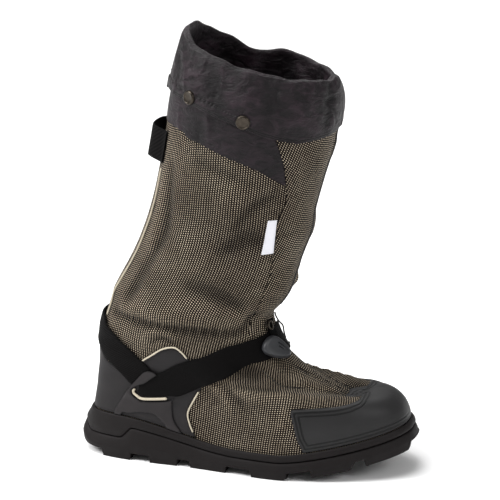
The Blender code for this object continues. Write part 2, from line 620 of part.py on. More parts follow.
def build_midsole(finish):
    """Rubber band that cups the upper: groove edge, outer side, rim, and the cup's wall and floor."""
    turns = np.arange(ROUND_STEPS) / ROUND_STEPS
    stations = np.array(GROOVE_STATIONS)
    order = [(share, -1.0) for share in stations] + [(share, 1.0) for share in stations[-2:0:-1]]
    points, loops = [], []

    def add_loop(loop):
        """Keep a loop's points and the numbers of its vertices."""
        loops.append(list(range(len(points), len(points) + len(loop))))
        points.extend(tuple(point) for point in loop)

    for reach, rise in ((GROOVE_REACH, GAP / 2.0), ((0.0092, 0.0062, 0.0038), 0.0018)):
        plan = [sole_point(share, side, *reach) for share, side in order]
        add_loop([(x, y, groove_line(x) + rise) for x, y in plan])
    cup = GAP * 1.4
    add_loop(sole_loop(turns, 0.0040, 0.0042, 0.0032, lambda s: feather_height(s) - 0.0012))
    add_loop(sole_loop(turns, 0.0030, 0.0032, 0.0022, lambda s: feather_height(s)))
    add_loop(sole_loop(turns, cup, cup, cup, lambda s: feather_height(s)))
    add_loop(sole_loop(turns, cup, cup, cup, lambda s: feather_height(s) - CUP_DEPTH, row=0))

    faces = grid_faces(2, len(order), True)
    faces += grid_faces(4, ROUND_STEPS, True, start=loops[2][0])
    q = section_at(FEATHER_ROW)
    share, _across = plan_shares(turns, q["back_round"], q["front_round"])
    turn_shares = np.where(turns <= 0.5, share / 2.0, 1.0 - share / 2.0)
    station_shares = [share / 2.0 if side < 0 else 1.0 - share / 2.0 for share, side in order]
    faces += zip_faces(loops[1], station_shares, loops[2], turn_shares)
    for loop, flip in ((loops[0], True), (loops[-1], False)):
        faces += cap_faces(loop, flip)
    return add_object("midsole", points, faces, finish)


def build_insole(finish):
    """Footbed on the floor of the cup, inside the fabric wall."""
    turns = np.arange(ROUND_STEPS) / ROUND_STEPS
    inset = -(WALL + 2.0 * GAP)
    floor = GAP - CUP_DEPTH
    loops = [
        sole_loop(turns, inset, inset, inset, lambda s: feather_height(s) + floor, row=0),
        sole_loop(turns, inset, inset, inset, lambda s: feather_height(s) + floor + INSOLE_THICKNESS, row=0),
    ]
    faces = grid_faces(2, ROUND_STEPS, True)
    faces += cap_faces(range(ROUND_STEPS), True) + cap_faces(range(ROUND_STEPS, 2 * ROUND_STEPS), False)
    return add_object("insole", np.concatenate(loops), faces, finish)


def build_upper(finish):
    """Hollow fabric shell, open at the rim and underneath."""
    turns = np.arange(ROUND_STEPS) / ROUND_STEPS
    rows = row_steps(0.0, RIM_ROW - 0.5)
    grid_turn, grid_row = np.meshgrid(turns, rows)
    outer = skin(grid_turn, grid_row, np.zeros(grid_turn.shape))
    inner = skin(grid_turn, grid_row, np.full(grid_turn.shape, -WALL))
    lasting_edge = feather_height((outer[0, :, 0] - HEEL_BACK_X) / SOLE_LENGTH) - CUP_DEPTH + GAP
    outer[0, :, 2] = lasting_edge
    inner[0, :, 2] = lasting_edge
    return ring_solid("upper", [*inner[::-1], *outer], finish)


def build_cuff(finish):
    """Nylon cuff rolled outward over the shaft's top edge, with a lining that runs down inside."""
    turns = np.arange(ROUND_STEPS) / ROUND_STEPS
    clear = CUFF_CLEAR
    inside = -(WALL + 1.6 * GAP)
    # Cross-section as row and offset from the fabric's outer face, from the hem up, over and down inside
    turns_to_toe = 1.0 - np.abs(1.0 - 2.0 * turns)
    hem = RIM_ROW - np.interp(turns_to_toe, *np.array(HEM).T)
    profile = ((hem, clear), (RIM_ROW - 2.0, clear), (RIM_ROW - 1.0, clear), (RIM_ROW - 0.42, clear),
               (RIM_ROW - 0.42, inside), (RIM_ROW - 1.0, inside), (RIM_ROW - 2.0, inside),
               (RIM_ROW - 3.9, inside),
               (RIM_ROW - 3.9, inside - 0.5 * CUFF_THICKNESS), (RIM_ROW - 2.0, inside - CUFF_THICKNESS),
               (RIM_ROW - 0.8, inside - 1.3 * CUFF_THICKNESS),
               (RIM_ROW - 0.15, inside - 0.4 * CUFF_THICKNESS),
               (RIM_ROW, -0.1 * CUFF_THICKNESS), (RIM_ROW - 0.12, clear + 0.6 * CUFF_THICKNESS),
               (RIM_ROW - 0.8, clear + 1.5 * CUFF_THICKNESS), (RIM_ROW - 2.0, clear + 1.6 * CUFF_THICKNESS),
               (hem, clear + 1.2 * CUFF_THICKNESS))
    loops = [skin(turns, row, np.full(turns.shape, offset)) for row, offset in profile]
    return ring_solid("cuff", loops, finish, flip=True)


def build_overlays(finishes):
    """Panels that are cut between two offsets of the fabric's own surface."""
    start = FEATHER_ROW + 0.07
    half = ROUND_STEPS // 2
    wide = SHAFT_WIDTH

    cap = patch_solid("toe_cap", turn_steps(half - 8, half + 8), row_steps(start, 7.0),
                      GAP, GAP + CAP_THICKNESS, finishes["cap"])
    front_end = ((1.1, 0.75), (1.1, 0.0), (0.705, 0.0))
    cut(cap, side_cutter("toe_cap_outline", TOE_CAP_EDGE + front_end, INSTEP_HEIGHT, -wide, wide))

    counter = patch_solid("heel_counter", turn_steps(-10, 10), row_steps(start, 11.0),
                          GAP, GAP + COUNTER_THICKNESS, finishes["counter"])
    back_end = ((0.390, 0.0), (-0.02, 0.0))
    cut(counter, side_cutter("heel_counter_outline", COUNTER_EDGE + back_end, INSTEP_HEIGHT, -wide, wide))

    over_counter = 2.0 * GAP + COUNTER_THICKNESS

    def stay_inner(turn, row):
        """Inner offset of the stay, which climbs over the straps to form their keeper."""
        height = surface(turn, row)[..., 2] / INSTEP_HEIGHT
        low, high = KEEPER_RISE
        return over_counter + (WEBBING_THICKNESS + GAP) * ease((height - low) / (high - low))

    for name, first, last, y_from, y_to in (("side_stay_outer", 3, 8, -wide, 0.0),
                                            ("side_stay_inner", 2 * half - 8, 2 * half - 3, 0.0, wide)):
        stay = patch_solid(name, turn_steps(first, last), row_steps(start, 7.0), stay_inner,
                           lambda turn, row: stay_inner(turn, row) + STAY_THICKNESS, finishes["stay"])
        cut(stay, side_cutter(name + "_outline", STAY_EDGE, INSTEP_HEIGHT, y_from, y_to))

    gap_share = SEAM_CLEARANCE / SOLE_LENGTH
    heel_end = tuple((share - gap_share, up) for share, up in KEEPER_LINE)
    heel_strap = patch_solid("heel_strap", turn_steps(-7, 7), row_steps(3.0, 12.0),
                             over_counter, over_counter + WEBBING_THICKNESS, finishes["webbing"])
    outline = HEEL_STRAP_TOP + heel_end[::-1] + HEEL_STRAP_BOTTOM[::-1]
    cut(heel_strap, side_cutter("heel_strap_outline", outline, INSTEP_HEIGHT, -wide, wide))

    instep_strap = patch_solid("instep_strap", turn_steps(4, 2 * half - 4), row_steps(2.0, 14.0),
                               over_counter, over_counter + WEBBING_THICKNESS, finishes["webbing"])
    instep_end = tuple((share + gap_share, up) for share, up in KEEPER_LINE)
    outline = instep_end + INSTEP_STRAP_TOP + INSTEP_STRAP_BOTTOM[::-1]
    cut(instep_strap, side_cutter("instep_strap_outline", outline, INSTEP_HEIGHT, -wide, wide))

    under_hem = RIM_ROW - 2.0
    flap = patch_solid("front_flap", turn_steps(half - 7, half + 1), row_steps(12.0, under_hem),
                       GAP, GAP + FLAP_THICKNESS, finishes["fabric"])
    seam = FRONT_SEAM + ((0.90, 0.30), (0.90, 0.80))
    cut(flap, side_cutter("front_flap_outline", seam, BOOT_HEIGHT, -wide, wide))

    share_back = -SEAM_CLEARANCE / SOLE_LENGTH
    panel_front = tuple((share + share_back, up) for share, up in FRONT_SEAM[:5][::-1])
    panel = patch_solid("collar_panel", turn_steps(4 - half, half - 4), row_steps(RIM_ROW - 6.0, under_hem),
                        GAP, GAP + PANEL_THICKNESS, finishes["nylon"])
    outline = PANEL_SEAM[:-1] + panel_front + ((0.618 + share_back, 0.95), (0.12, 0.95))
    cut(panel, side_cutter("collar_panel_outline", outline, BOOT_HEIGHT, -wide, wide))

    label = patch_solid("side_label", turn_steps(half - 6, half - 4), row_steps(RIM_ROW - 9.0, RIM_ROW - 6.0),
                        GAP, GAP + LABEL_THICKNESS, finishes["label"])
    cut(label, side_cutter("side_label_outline", LABEL_EDGE, BOOT_HEIGHT, -wide, 0.0))


def build_piping(finishes):
    """Light piping on the outer and inner sides, laid on the heel counter."""
    on_counter = 3.0 * GAP + COUNTER_THICKNESS
    for side, inner_side in (("outer", False), ("inner", True)):
        for kind, path, radius in (("hook", HOOK_PATH, THICK_PIPING_RADIUS), ("arc", ARC_PATH, PIPING_RADIUS),
                                   ("curve", CURVE_PATH, PIPING_RADIUS)):
            found = [locate(share, up * INSTEP_HEIGHT, inner_side) for share, up in smooth_path(path, 9)]
            turn, row = np.array(found).T
            tube(f"piping_{kind}_{side}", skin(turn, row, np.full(turn.shape, on_counter + radius)),
                 radius, finishes["piping"])

    turn, row = smooth_path(BACK_SEAM, 12).T
    on_fabric = 2.0 * GAP + PIPING_RADIUS
    tube("piping_back", skin(turn, row, np.full(turn.shape, on_fabric)), PIPING_RADIUS, finishes["piping"])


def build_pull_loop(finish):
    """Webbing loop on the back, sewn on at both ends and standing off in the middle."""
    on_fabric = 3.0 * GAP

    def reach(turn, _row):
        """Inner offset: flat on the shaft at the ends, LOOP_REACH off it in the middle."""
        return on_fabric + LOOP_REACH * ease((LOOP_HALF_ROUND - np.abs(turn)) / (0.62 * LOOP_HALF_ROUND))

    turns = np.linspace(-LOOP_HALF_ROUND, LOOP_HALF_ROUND, 13)
    return patch_solid("pull_loop", turns, np.linspace(*LOOP_ROWS, 3), reach,
                       lambda turn, row: reach(turn, row) + WEBBING_THICKNESS, finish)


def frame_on_skin(turn, row, offset, clear):
    """Matrix that stands `clear` off the skin at offset(turn, row), Z outward and Y up along it."""
    def face(at_turn, at_row):
        """Point of the carrying face."""
        return skin(np.array(at_turn), np.array(at_row), offset(at_turn, at_row))

    half_turn, half_row = 0.014, 0.28
    up = face(turn, row + half_row) - face(turn, row - half_row)
    aside = face(turn + half_turn, row) - face(turn - half_turn, row)
    out = np.cross(aside, up)
    out = out / np.linalg.norm(out)
    up = up / np.linalg.norm(up)
    turned = Matrix((np.cross(up, out), up, out)).transposed().to_4x4()
    turned.translation = Vector(face(turn, row) + out * clear)
    return turned


def turned_solid(name, profile, steps, finish):
    """Solid of revolution about Z from a profile of radius and height that starts and ends on the axis."""
    angles = np.arange(steps) * 2.0 * np.pi / steps
    points = [(0.0, 0.0, profile[0][1]), (0.0, 0.0, profile[-1][1])]
    rings = []
    for radius, height in profile[1:-1]:
        rings.append(range(len(points), len(points) + steps))
        points += [(radius * np.cos(a), radius * np.sin(a), height) for a in angles]
    faces = []
    for j in range(steps):
        k = (j + 1) % steps
        faces.append((0, rings[0][k], rings[0][j]))
        faces.append((1, rings[-1][j], rings[-1][k]))
        faces += [(low[j], low[k], high[k], high[j]) for low, high in zip(rings, rings[1:])]
    return add_object(name, points, faces, finish)


def build_snaps(finish):
    """Press snaps on the cuff's band, two on each side."""
    def cuff_face(turn, row):
        """Outer offset of the cuff, which is thinner at its hem."""
        hem = RIM_ROW - np.interp(1.0 - abs(1.0 - 2.0 * turn), *np.array(HEM).T)
        swell = np.interp(row, (hem, RIM_ROW - 2.0, RIM_ROW - 0.8), (1.2, 1.6, 1.5))
        return CUFF_CLEAR + CUFF_THICKNESS * swell

    r, h = SNAP_RADIUS, SNAP_HEIGHT
    profile = ((0.0, 0.0), (r, 0.0), (r, 0.5 * h), (0.82 * r, h), (0.0, 0.8 * h))
    for number, (turn, row) in enumerate(SNAPS, 1):
        snap = turned_solid(f"cuff_snap_{number}", profile, 14, finish)
        snap.matrix_world = frame_on_skin(turn, row, cuff_face, SNAP_SEAT)


def build_buckle(finish, webbing):
    """Tear-drop buckle that lies on the instep strap, over the strap's folded tail."""
    over_strap = 3.0 * GAP + COUNTER_THICKNESS + WEBBING_THICKNESS
    tail_seat = over_strap + TAIL_CLEAR
    patch_solid("buckle_strap", np.linspace(*TAIL_TURNS, 3), np.linspace(*TAIL_ROWS, 6),
                tail_seat, tail_seat + TAIL_THICKNESS, webbing)

    seat = tail_seat + TAIL_THICKNESS + GAP
    turn, row = BUCKLE_AT
    per_turn = np.linalg.norm(surface(turn + 0.005, row) - surface(turn - 0.005, row)) / 0.01
    per_row = np.linalg.norm(surface(turn, row + 0.2) - surface(turn, row - 0.2)) / 0.4
    angles = np.arange(18) * 2.0 * np.pi / 18
    across = BUCKLE_WIDTH / 2.0 * np.cos(angles) * (1.0 - 0.25 * np.sin(angles))
    along_it = BUCKLE_LENGTH / 2.0 * np.sin(angles)
    u = across * np.cos(BUCKLE_TILT) + along_it * np.sin(BUCKLE_TILT)
    v = along_it * np.cos(BUCKLE_TILT) - across * np.sin(BUCKLE_TILT)
    # Rings from the middle of the underside out and back over the top: share of the outline and height
    rings = ((0.5, 0.0), (0.97, 0.0), (1.0, 0.35), (0.94, 0.75), (0.80, 1.0), (0.45, 0.92))
    points = [skin(turn, row, np.array(seat)), skin(turn, row, np.array(seat + 0.92 * BUCKLE_THICKNESS))]
    loops = []
    for share, height in rings:
        loops.append(range(len(points), len(points) + len(angles)))
        points += list(skin(turn + share * u / per_turn, row + share * v / per_row,
                            np.full(angles.shape, seat + height * BUCKLE_THICKNESS)))
    faces = []
    for j in range(len(angles)):
        k = (j + 1) % len(angles)
        faces.append((0, loops[0][k], loops[0][j]))
        faces.append((1, loops[-1][j], loops[-1][k]))
        faces += [(low[j], low[k], high[k], high[j]) for low, high in zip(loops, loops[1:])]
    add_object("strap_buckle", points, faces, finish)


def build_cord(finish):
    """Thin draw cord that hangs free in front of the instep."""
    points = smooth_path(CORD_PATH, 15) + np.array([HEEL_BACK_X, 0.0, 0.0])
    cord = tube("pull_cord", points, CORD_RADIUS, finish)
    cord.data.bevel_resolution = 2


def main():
    """Clear the scene and build the boot."""
    finishes = {
        "fabric": material("woven fabric", (0.030, 0.024, 0.018), 0.85),
        "nylon": material("black nylon", (0.012, 0.010, 0.013), 0.6),
        "rubber": material("black rubber", (0.018, 0.018, 0.019), 0.6),
        "cap": material("toe cap rubber", (0.014, 0.014, 0.015), 0.5),
        "counter": material("coated counter", (0.020, 0.020, 0.021), 0.65),
        "stay": material("smooth stay", (0.020, 0.018, 0.020), 0.5),
        "webbing": material("webbing", (0.004, 0.004, 0.005), 0.85),
        "label": material("white label", (0.80, 0.80, 0.84), 0.8),
        "piping": material("light piping", (0.60, 0.55, 0.44), 0.6),
        "metal": material("gunmetal", (0.06, 0.055, 0.05), 0.35, 0.9),
        "felt": material("insole felt", (0.03, 0.03, 0.03), 0.95),
        "buckle": material("grey-black buckle plastic", (0.045, 0.048, 0.052), 0.4),
        "cord": material("black cord", (0.008, 0.008, 0.009), 0.7),
    }
    build_outsole(finishes["rubber"])
    build_midsole(finishes["rubber"])
    build_insole(finishes["felt"])
    build_upper(finishes["fabric"])
    build_overlays(finishes)
    build_cuff(finishes["nylon"])
    build_piping(finishes)
    build_pull_loop(finishes["webbing"])
    build_snaps(finishes["metal"])
    build_buckle(finishes["buckle"], finishes["webbing"])
    build_cord(finishes["cord"])


for old in list(bpy.data.objects):
    bpy.data.objects.remove(old, do_unlink=True)
BOOT = bpy.data.objects.new("boot", None)
bpy.context.collection.objects.link(BOOT)
main()
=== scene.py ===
import bpy
import numpy as np
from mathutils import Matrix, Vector


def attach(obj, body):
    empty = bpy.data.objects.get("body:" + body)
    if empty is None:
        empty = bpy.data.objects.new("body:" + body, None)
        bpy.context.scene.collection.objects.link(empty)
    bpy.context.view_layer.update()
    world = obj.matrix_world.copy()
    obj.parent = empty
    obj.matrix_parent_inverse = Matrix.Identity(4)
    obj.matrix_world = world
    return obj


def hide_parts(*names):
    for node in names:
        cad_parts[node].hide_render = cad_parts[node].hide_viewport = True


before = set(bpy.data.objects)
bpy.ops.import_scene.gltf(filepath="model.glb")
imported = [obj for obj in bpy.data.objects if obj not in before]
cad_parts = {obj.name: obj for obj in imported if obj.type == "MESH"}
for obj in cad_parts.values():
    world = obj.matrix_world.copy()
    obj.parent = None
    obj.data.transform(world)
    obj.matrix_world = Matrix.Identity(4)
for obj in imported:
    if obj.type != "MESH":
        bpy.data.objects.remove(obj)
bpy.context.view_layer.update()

# Camera: a long lens at hip height that looks at the boot's outer side, a little from the toe's front and
# from above, as the photographer's did. The frame is square.
LOOK_AT = Vector((0.115, 0.0, 0.210))
TOWARDS_CAMERA = Vector((0.2337, -0.9372, 0.2588)).normalized()
CAMERA_DISTANCE = 2.15

optics = bpy.data.cameras.new("camera")
optics.lens, optics.sensor_width = 159.3, 36.0
optics.shift_x, optics.shift_y = 0.003, 0.0014
optics.clip_end = 60.0
camera = bpy.data.objects.new("camera", optics)
camera.location = LOOK_AT + TOWARDS_CAMERA * CAMERA_DISTANCE
camera.rotation_mode = "QUATERNION"
camera.rotation_quaternion = TOWARDS_CAMERA.to_track_quat("Z", "Y")
bpy.context.scene.collection.objects.link(camera)
bpy.context.scene.camera = camera
bpy.context.scene.view_settings.view_transform = "Standard"


# Studio: a white paper floor under large soft boxes. The key stands high on the left, a weaker one on the
# right, and one over the back lifts the rims. The paper is lit to white round a soft shadow.
def linear(hex_colour):
    """sRGB hex to linear: v / 12.92 up to 0.04045, ((v + 0.055) / 1.055) ^ 2.4 above it."""
    v = np.array([int(hex_colour[k:k + 2], 16) for k in (1, 3, 5)]) / 255.0
    return (*np.where(v <= 0.04045, v / 12.92, ((v + 0.055) / 1.055) ** 2.4), 1.0)


def add_node(tree, kind, sockets=None, **settings):
    """One shader node with its settings; a socket's value is a constant or another node's output."""
    node = tree.nodes.new("ShaderNode" + kind)
    for setting, value in settings.items():
        setattr(node, setting, value)
    for socket, value in (sockets or {}).items():
        if isinstance(value, bpy.types.NodeSocket):
            tree.links.new(value, node.inputs[socket])
        else:
            node.inputs[socket].default_value = value
    return node


def new_finish(name, base, roughness, constants=None):
    """Material with one Principled BSDF; constants go straight on its sockets."""
    made = bpy.data.materials.new(name)
    made.use_nodes = True
    shader = made.node_tree.nodes["Principled BSDF"]
    for socket, value in {"Base Color": linear(base), "Roughness": roughness, **(constants or {})}.items():
        shader.inputs[socket].default_value = value
    return made, made.node_tree, shader


def grainy(tree, size_mm, detail=4.0):
    """Noise whose lumps are about size_mm across, in the object's own metres."""
    place = add_node(tree, "TexCoord").outputs["Object"]
    return add_node(tree, "TexNoise", {"Vector": place, "Scale": 1000.0 / size_mm, "Detail": detail}).outputs[0]


def between(tree, mask, low, high):
    """Smooth 0 to 1 as the mask goes from low to high."""
    return add_node(tree, "MapRange", {0: mask, 1: low, 2: high, 3: 0.0, 4: 1.0},
                    interpolation_type="SMOOTHSTEP").outputs[0]


def mixed(tree, mask, first, second):
    """Colour that goes from first to second with the mask; each is a hex value or a socket."""
    first, second = (linear(c) if isinstance(c, str) else c for c in (first, second))
    return add_node(tree, "Mix", {0: mask, 6: first, 7: second}, data_type="RGBA").outputs[2]


def summed(tree, *weighted):
    """Sum of sockets, each times its weight."""
    total = 0.0
    for socket, weight in weighted:
        total = add_node(tree, "Math", {0: socket, 1: weight, 2: total}, operation="MULTIPLY_ADD").outputs[0]
    return total


def emboss(tree, shader, height_mm):
    """Bump from a height in millimetres."""
    bump = add_node(tree, "Bump", {"Height": height_mm, "Distance": 0.001, "Strength": 1.0})
    tree.links.new(bump.outputs[0], shader.inputs["Normal"])


paper, tree, shader = new_finish("matte white paper", "#F7F7F7", 0.9, {"Specular IOR Level": 0.1})
tree.links.new(mixed(tree, grainy(tree, 400.0), "#FBFBFB", "#FEFEFE"), shader.inputs["Base Color"])
sheet = bpy.data.meshes.new("paper_floor")
sheet.from_pydata([(-9, -9, 0), (9, -9, 0), (9, 9, 0), (-9, 9, 0)], [], [(0, 1, 2, 3)])
sheet.materials.append(paper)
floor = bpy.data.objects.new("paper_floor", sheet)
bpy.context.scene.collection.objects.link(floor)

SOFT_BOXES = (("key", (-1.7, -0.9, 1.6), 0.7, 44.0), ("fill", (1.7, -0.9, 1.3), 0.7, 12.0),
              ("rim", (-0.3, 1.3, 1.9), 1.2, 16.0))
for name, place, size, watts in SOFT_BOXES:
    box = bpy.data.lights.new(name, "AREA")
    box.energy, box.size = watts, size
    lamp = bpy.data.objects.new(name, box)
    lamp.location = place
    lamp.rotation_euler = (Vector(place) - LOOK_AT).to_track_quat("Z", "Y").to_euler()
    bpy.context.scene.collection.objects.link(lamp)
sky = bpy.data.lights.new("ceiling", "SUN")
sky.energy, sky.angle = 2.6, 0.9
ceiling = bpy.data.objects.new("ceiling", sky)
ceiling.rotation_euler = Vector((-0.35, -0.15, 1.0)).to_track_quat("Z", "Y").to_euler()
bpy.context.scene.collection.objects.link(ceiling)
studio = bpy.data.worlds.new("studio")
studio.use_nodes = True
studio.node_tree.nodes["Background"].inputs[0].default_value = (1.0, 1.0, 1.0, 1.0)
studio.node_tree.nodes["Background"].inputs[1].default_value = 0.30
bpy.context.scene.world = studio


# Draw cord: a thin braided polyester cord that comes out from under the front flap, hangs in front of the
# instep and ends bare, hooked up beside the buckle.
HEEL_BACK_X = -0.055
CORD_DIAMETER = 0.0016
CORD_ROUTE = ((0.1980, -0.006, 0.1517), (0.1992, -0.0065, 0.1478), (0.2026, -0.008, 0.1434),
              (0.2068, -0.010, 0.1402), (0.2085, -0.012, 0.1348), (0.2115, -0.016, 0.1281),
              (0.2136, -0.017, 0.1258), (0.2160, -0.0175, 0.1258))


def smooth_path(points, steps):
    """Catmull-Rom curve through a short list of points, ends included."""
    points = np.asarray(points, float)
    padded = np.concatenate(([2 * points[0] - points[1]], points, [2 * points[-1] - points[-2]]))
    t = np.linspace(0.0, len(points) - 1.0, steps)
    base = np.minimum(t.astype(int), len(points) - 2)
    t = (t - base)[:, None]
    a, b, c, d = (padded[base + k] for k in range(4))
    return b + 0.5 * t * (c - a + t * (2 * a - 5 * b + 4 * c - d + t * (3 * (b - c) + d - a)))


braid, tree, shader = new_finish("braided polyester cord", "#141315", 0.7, {"Sheen Weight": 0.2})
strands = add_node(tree, "TexWave", {"Vector": add_node(tree, "TexCoord").outputs["Object"], "Scale": 420.0,
                                     "Distortion": 1.0}, bands_direction="DIAGONAL").outputs[1]
tree.links.new(mixed(tree, strands, "#0D0C0E", "#211F22"), shader.inputs["Base Color"])
emboss(tree, shader, summed(tree, (strands, 0.12)))

cord_points = smooth_path(CORD_ROUTE, 24) + np.array([HEEL_BACK_X, 0.0, 0.0])
cord_line = bpy.data.curves.new("draw_cord", "CURVE")
cord_line.dimensions = "3D"
cord_line.bevel_depth = CORD_DIAMETER / 2.0
cord_line.bevel_resolution = 3
cord_line.use_fill_caps = True
run = cord_line.splines.new("POLY")
run.points.add(len(cord_points) - 1)
run.points.foreach_set("co", np.column_stack([cord_points, np.ones(len(cord_points))]).astype(np.float32).ravel())
cord_line.materials.append(braid)
draw_cord = bpy.data.objects.new("draw_cord", cord_line)
bpy.context.scene.collection.objects.link(draw_cord)
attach(draw_cord, "root")
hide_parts("pull_cord")


# Upper: a coarse coated weave over foam and a dark lining, cut in panels and sewn. Its shape is a stack of
# sections from the lasting edge to the rim; turn runs once round from the heel by the outer side.
SOLE_LENGTH, BALL_WIDTH, HEEL_WIDTH = 0.342, 0.126, 0.090
HEEL_STACK, FOREFOOT_STACK, TOE_SPRING = 0.044, 0.0245, 0.028
INSTEP_HEIGHT, BOOT_HEIGHT = 0.1485, 0.432
SHAFT_DEPTH, SHAFT_WIDTH = 0.172, 0.138
TOE_SWING, WAIST, WALL, CUP_DEPTH = 0.006, 0.06, 0.0020, 0.0055
FOOT_COLUMNS = ("back", "front", "back_up", "front_up", "heel", "ball",
                "back_round", "front_round", "plane", "lift")
FOOT_ROWS = (
    (0.0439, 0.960, 0.30, 0.33, 0.990, 1.000, 3.0, 2.50, 0.00, -0.035),
    (0.0424, 0.963, 0.30, 0.33, 1.000, 1.000, 3.0, 2.50, 0.00, 0.000),
    (0.0468, 0.957, 0.38, 0.375, 1.000, 1.000, 3.0, 2.50, 0.10, 0.068),
    (0.0520, 0.943, 0.45, 0.425, 1.015, 0.985, 2.9, 2.50, 0.30, 0.141),
    (0.0555, 0.920, 0.53, 0.468, 1.035, 0.955, 2.8, 2.42, 0.50, 0.210),
    (0.0585, 0.888, 0.61, 0.488, 1.055, 0.915, 2.7, 2.20, 0.72, 0.262),
    (0.0600, 0.845, 0.68, 0.502, 1.075, 0.875, 2.6, 1.95, 0.90, 0.300),
    (0.0615, 0.792, 0.75, 0.500, 1.100, 0.845, 2.6, 1.80, 1.00, 0.330),
    (0.0645, 0.741, 0.81, 0.528, 1.120, 0.825, 2.5, 1.72, 1.00, 0.370),
    (0.0680, 0.695, 0.87, 0.592, 1.135, 0.815, 2.5, 1.72, 1.00, 0.410),
    (0.0750, 0.646, 0.93, 0.680, 1.145, 0.812, 2.4, 1.78, 1.00, 0.450),
    (0.0845, 0.606, 0.99, 0.768, 1.155, 0.815, 2.4, 1.86, 1.00, 0.490),
    (0.0940, 0.578, 1.06, 0.878, 1.165, 0.825, 2.3, 1.95, 1.00, 0.520),
    (0.1040, 0.566, 1.13, 1.000, 1.175, 0.840, 2.3, 2.05, 1.00, 0.550),
)
SHAFT_COLUMNS = ("back", "depth", "back_up", "front_up", "width", "back_round", "front_round")
SHAFT_ROWS = (
    (0.1243, 0.928, 0.115, 0.040, 0.776, 2.3, 2.10),
    (0.1520, 0.925, 0.178, 0.093, 0.790, 2.25, 2.15),
    (0.1813, 0.904, 0.252, 0.164, 0.810, 2.2, 2.15),
    (0.2076, 0.889, 0.333, 0.235, 0.838, 2.2, 2.15),
    (0.2266, 0.894, 0.414, 0.309, 0.868, 2.2, 2.15),
    (0.2427, 0.877, 0.499, 0.383, 0.902, 2.2, 2.15),
    (0.2573, 0.890, 0.580, 0.480, 0.938, 2.2, 2.15),
    (0.2690, 0.907, 0.661, 0.563, 0.972, 2.2, 2.15),
    (0.2778, 0.918, 0.739, 0.640, 0.998, 2.2, 2.15),
    (0.2924, 0.910, 0.820, 0.712, 1.000, 2.2, 2.15),
    (0.3114, 0.863, 0.905, 0.775, 0.970, 2.2, 2.15),
    (0.3347, 0.790, 1.000, 0.824, 0.900, 2.2, 2.15),
)
THROAT_ROW = len(FOOT_ROWS) - 1
RIM_ROW = len(FOOT_ROWS) + len(SHAFT_ROWS) - 1


def ease(t):
    """Smooth step from 0 to 1: 3 t^2 - 2 t^3."""
    t = np.clip(t, 0.0, 1.0)
    return t * t * (3.0 - 2.0 * t)


def along(share):
    """X of a share of the sole's length from the heel's back."""
    return HEEL_BACK_X + np.asarray(share, float) * SOLE_LENGTH


def feather_height(share):
    """Top line of the sole: heel height easing down under the arch, plus the toe spring."""
    drop = 1.0 - ease((share - 0.13) / 0.37)
    rise = TOE_SPRING * np.clip((share - 0.62) / 0.38, 0.0, None) ** 1.35
    return FOREFOOT_STACK + (HEEL_STACK - FOREFOOT_STACK) * drop + rise


foot = {name: np.array(column) for name, column in zip(FOOT_COLUMNS, zip(*FOOT_ROWS))}
shaft = {name: np.array(column) for name, column in zip(SHAFT_COLUMNS, zip(*SHAFT_ROWS))}
rise = BOOT_HEIGHT - INSTEP_HEIGHT
half_shaft = shaft["width"] * SHAFT_WIDTH / 2.0
ones = np.ones(len(SHAFT_ROWS))
SECTIONS = {name: np.concatenate(pair) for name, pair in {
    "back": (along(foot["back"]), along(shaft["back"])),
    "front": (along(foot["front"]), along(shaft["back"]) + shaft["depth"] * SHAFT_DEPTH),
    "back_z": (foot["back_up"] * INSTEP_HEIGHT, INSTEP_HEIGHT + shaft["back_up"] * rise),
    "front_z": (foot["front_up"] * INSTEP_HEIGHT, INSTEP_HEIGHT + shaft["front_up"] * rise),
    "heel": (foot["heel"] * HEEL_WIDTH / 2.0, half_shaft),
    "ball": (foot["ball"] * BALL_WIDTH / 2.0, half_shaft),
    "back_round": (foot["back_round"], shaft["back_round"]),
    "front_round": (foot["front_round"], shaft["front_round"]),
    "plane": (foot["plane"], ones),
    "lift": (foot["lift"] * INSTEP_HEIGHT, 0.0 * ones),
    "footed": (1.0 - ease(np.arange(len(FOOT_ROWS)) / THROAT_ROW), 0.0 * ones),
}.items()}


def section_at(row):
    """Each column at a row between two sections, by a Catmull-Rom curve."""
    row = np.clip(np.asarray(row, float), 0.0, RIM_ROW)
    base = np.minimum(row.astype(int), RIM_ROW - 1)
    t = row - base
    found = {}
    for name, column in SECTIONS.items():
        padded = np.concatenate(([2 * column[0] - column[1]], column, [2 * column[-1] - column[-2]]))
        a, b, c, d = (padded[base + k] for k in range(4))
        found[name] = b + 0.5 * t * (c - a + t * (2 * a - 5 * b + 4 * c - d + t * (3 * (b - c) + d - a)))
    return found


def plan_shares(turn, back_round, front_round):
    """Shares along and across a rounded loop: a superellipse with one exponent for each end."""
    c, s = np.cos(2 * np.pi * turn), np.sin(2 * np.pi * turn)
    n = np.where(c > 0, back_round, front_round)
    size = (np.abs(c) ** n + np.abs(s) ** n) ** (-1.0 / n)
    return (1.0 - c * size) / 2.0, s * size


def half_width(share, across, heel, ball, footed):
    """Half width from heel to ball, slimmer on the inner side under the arch."""
    half = heel + (ball - heel) * ease((share - 0.28) / 0.44)
    arch = ease((share - 0.12) / 0.25) * (1.0 - ease((share - 0.45) / 0.25))
    return half * (1.0 - WAIST * footed * arch * (across < 0))


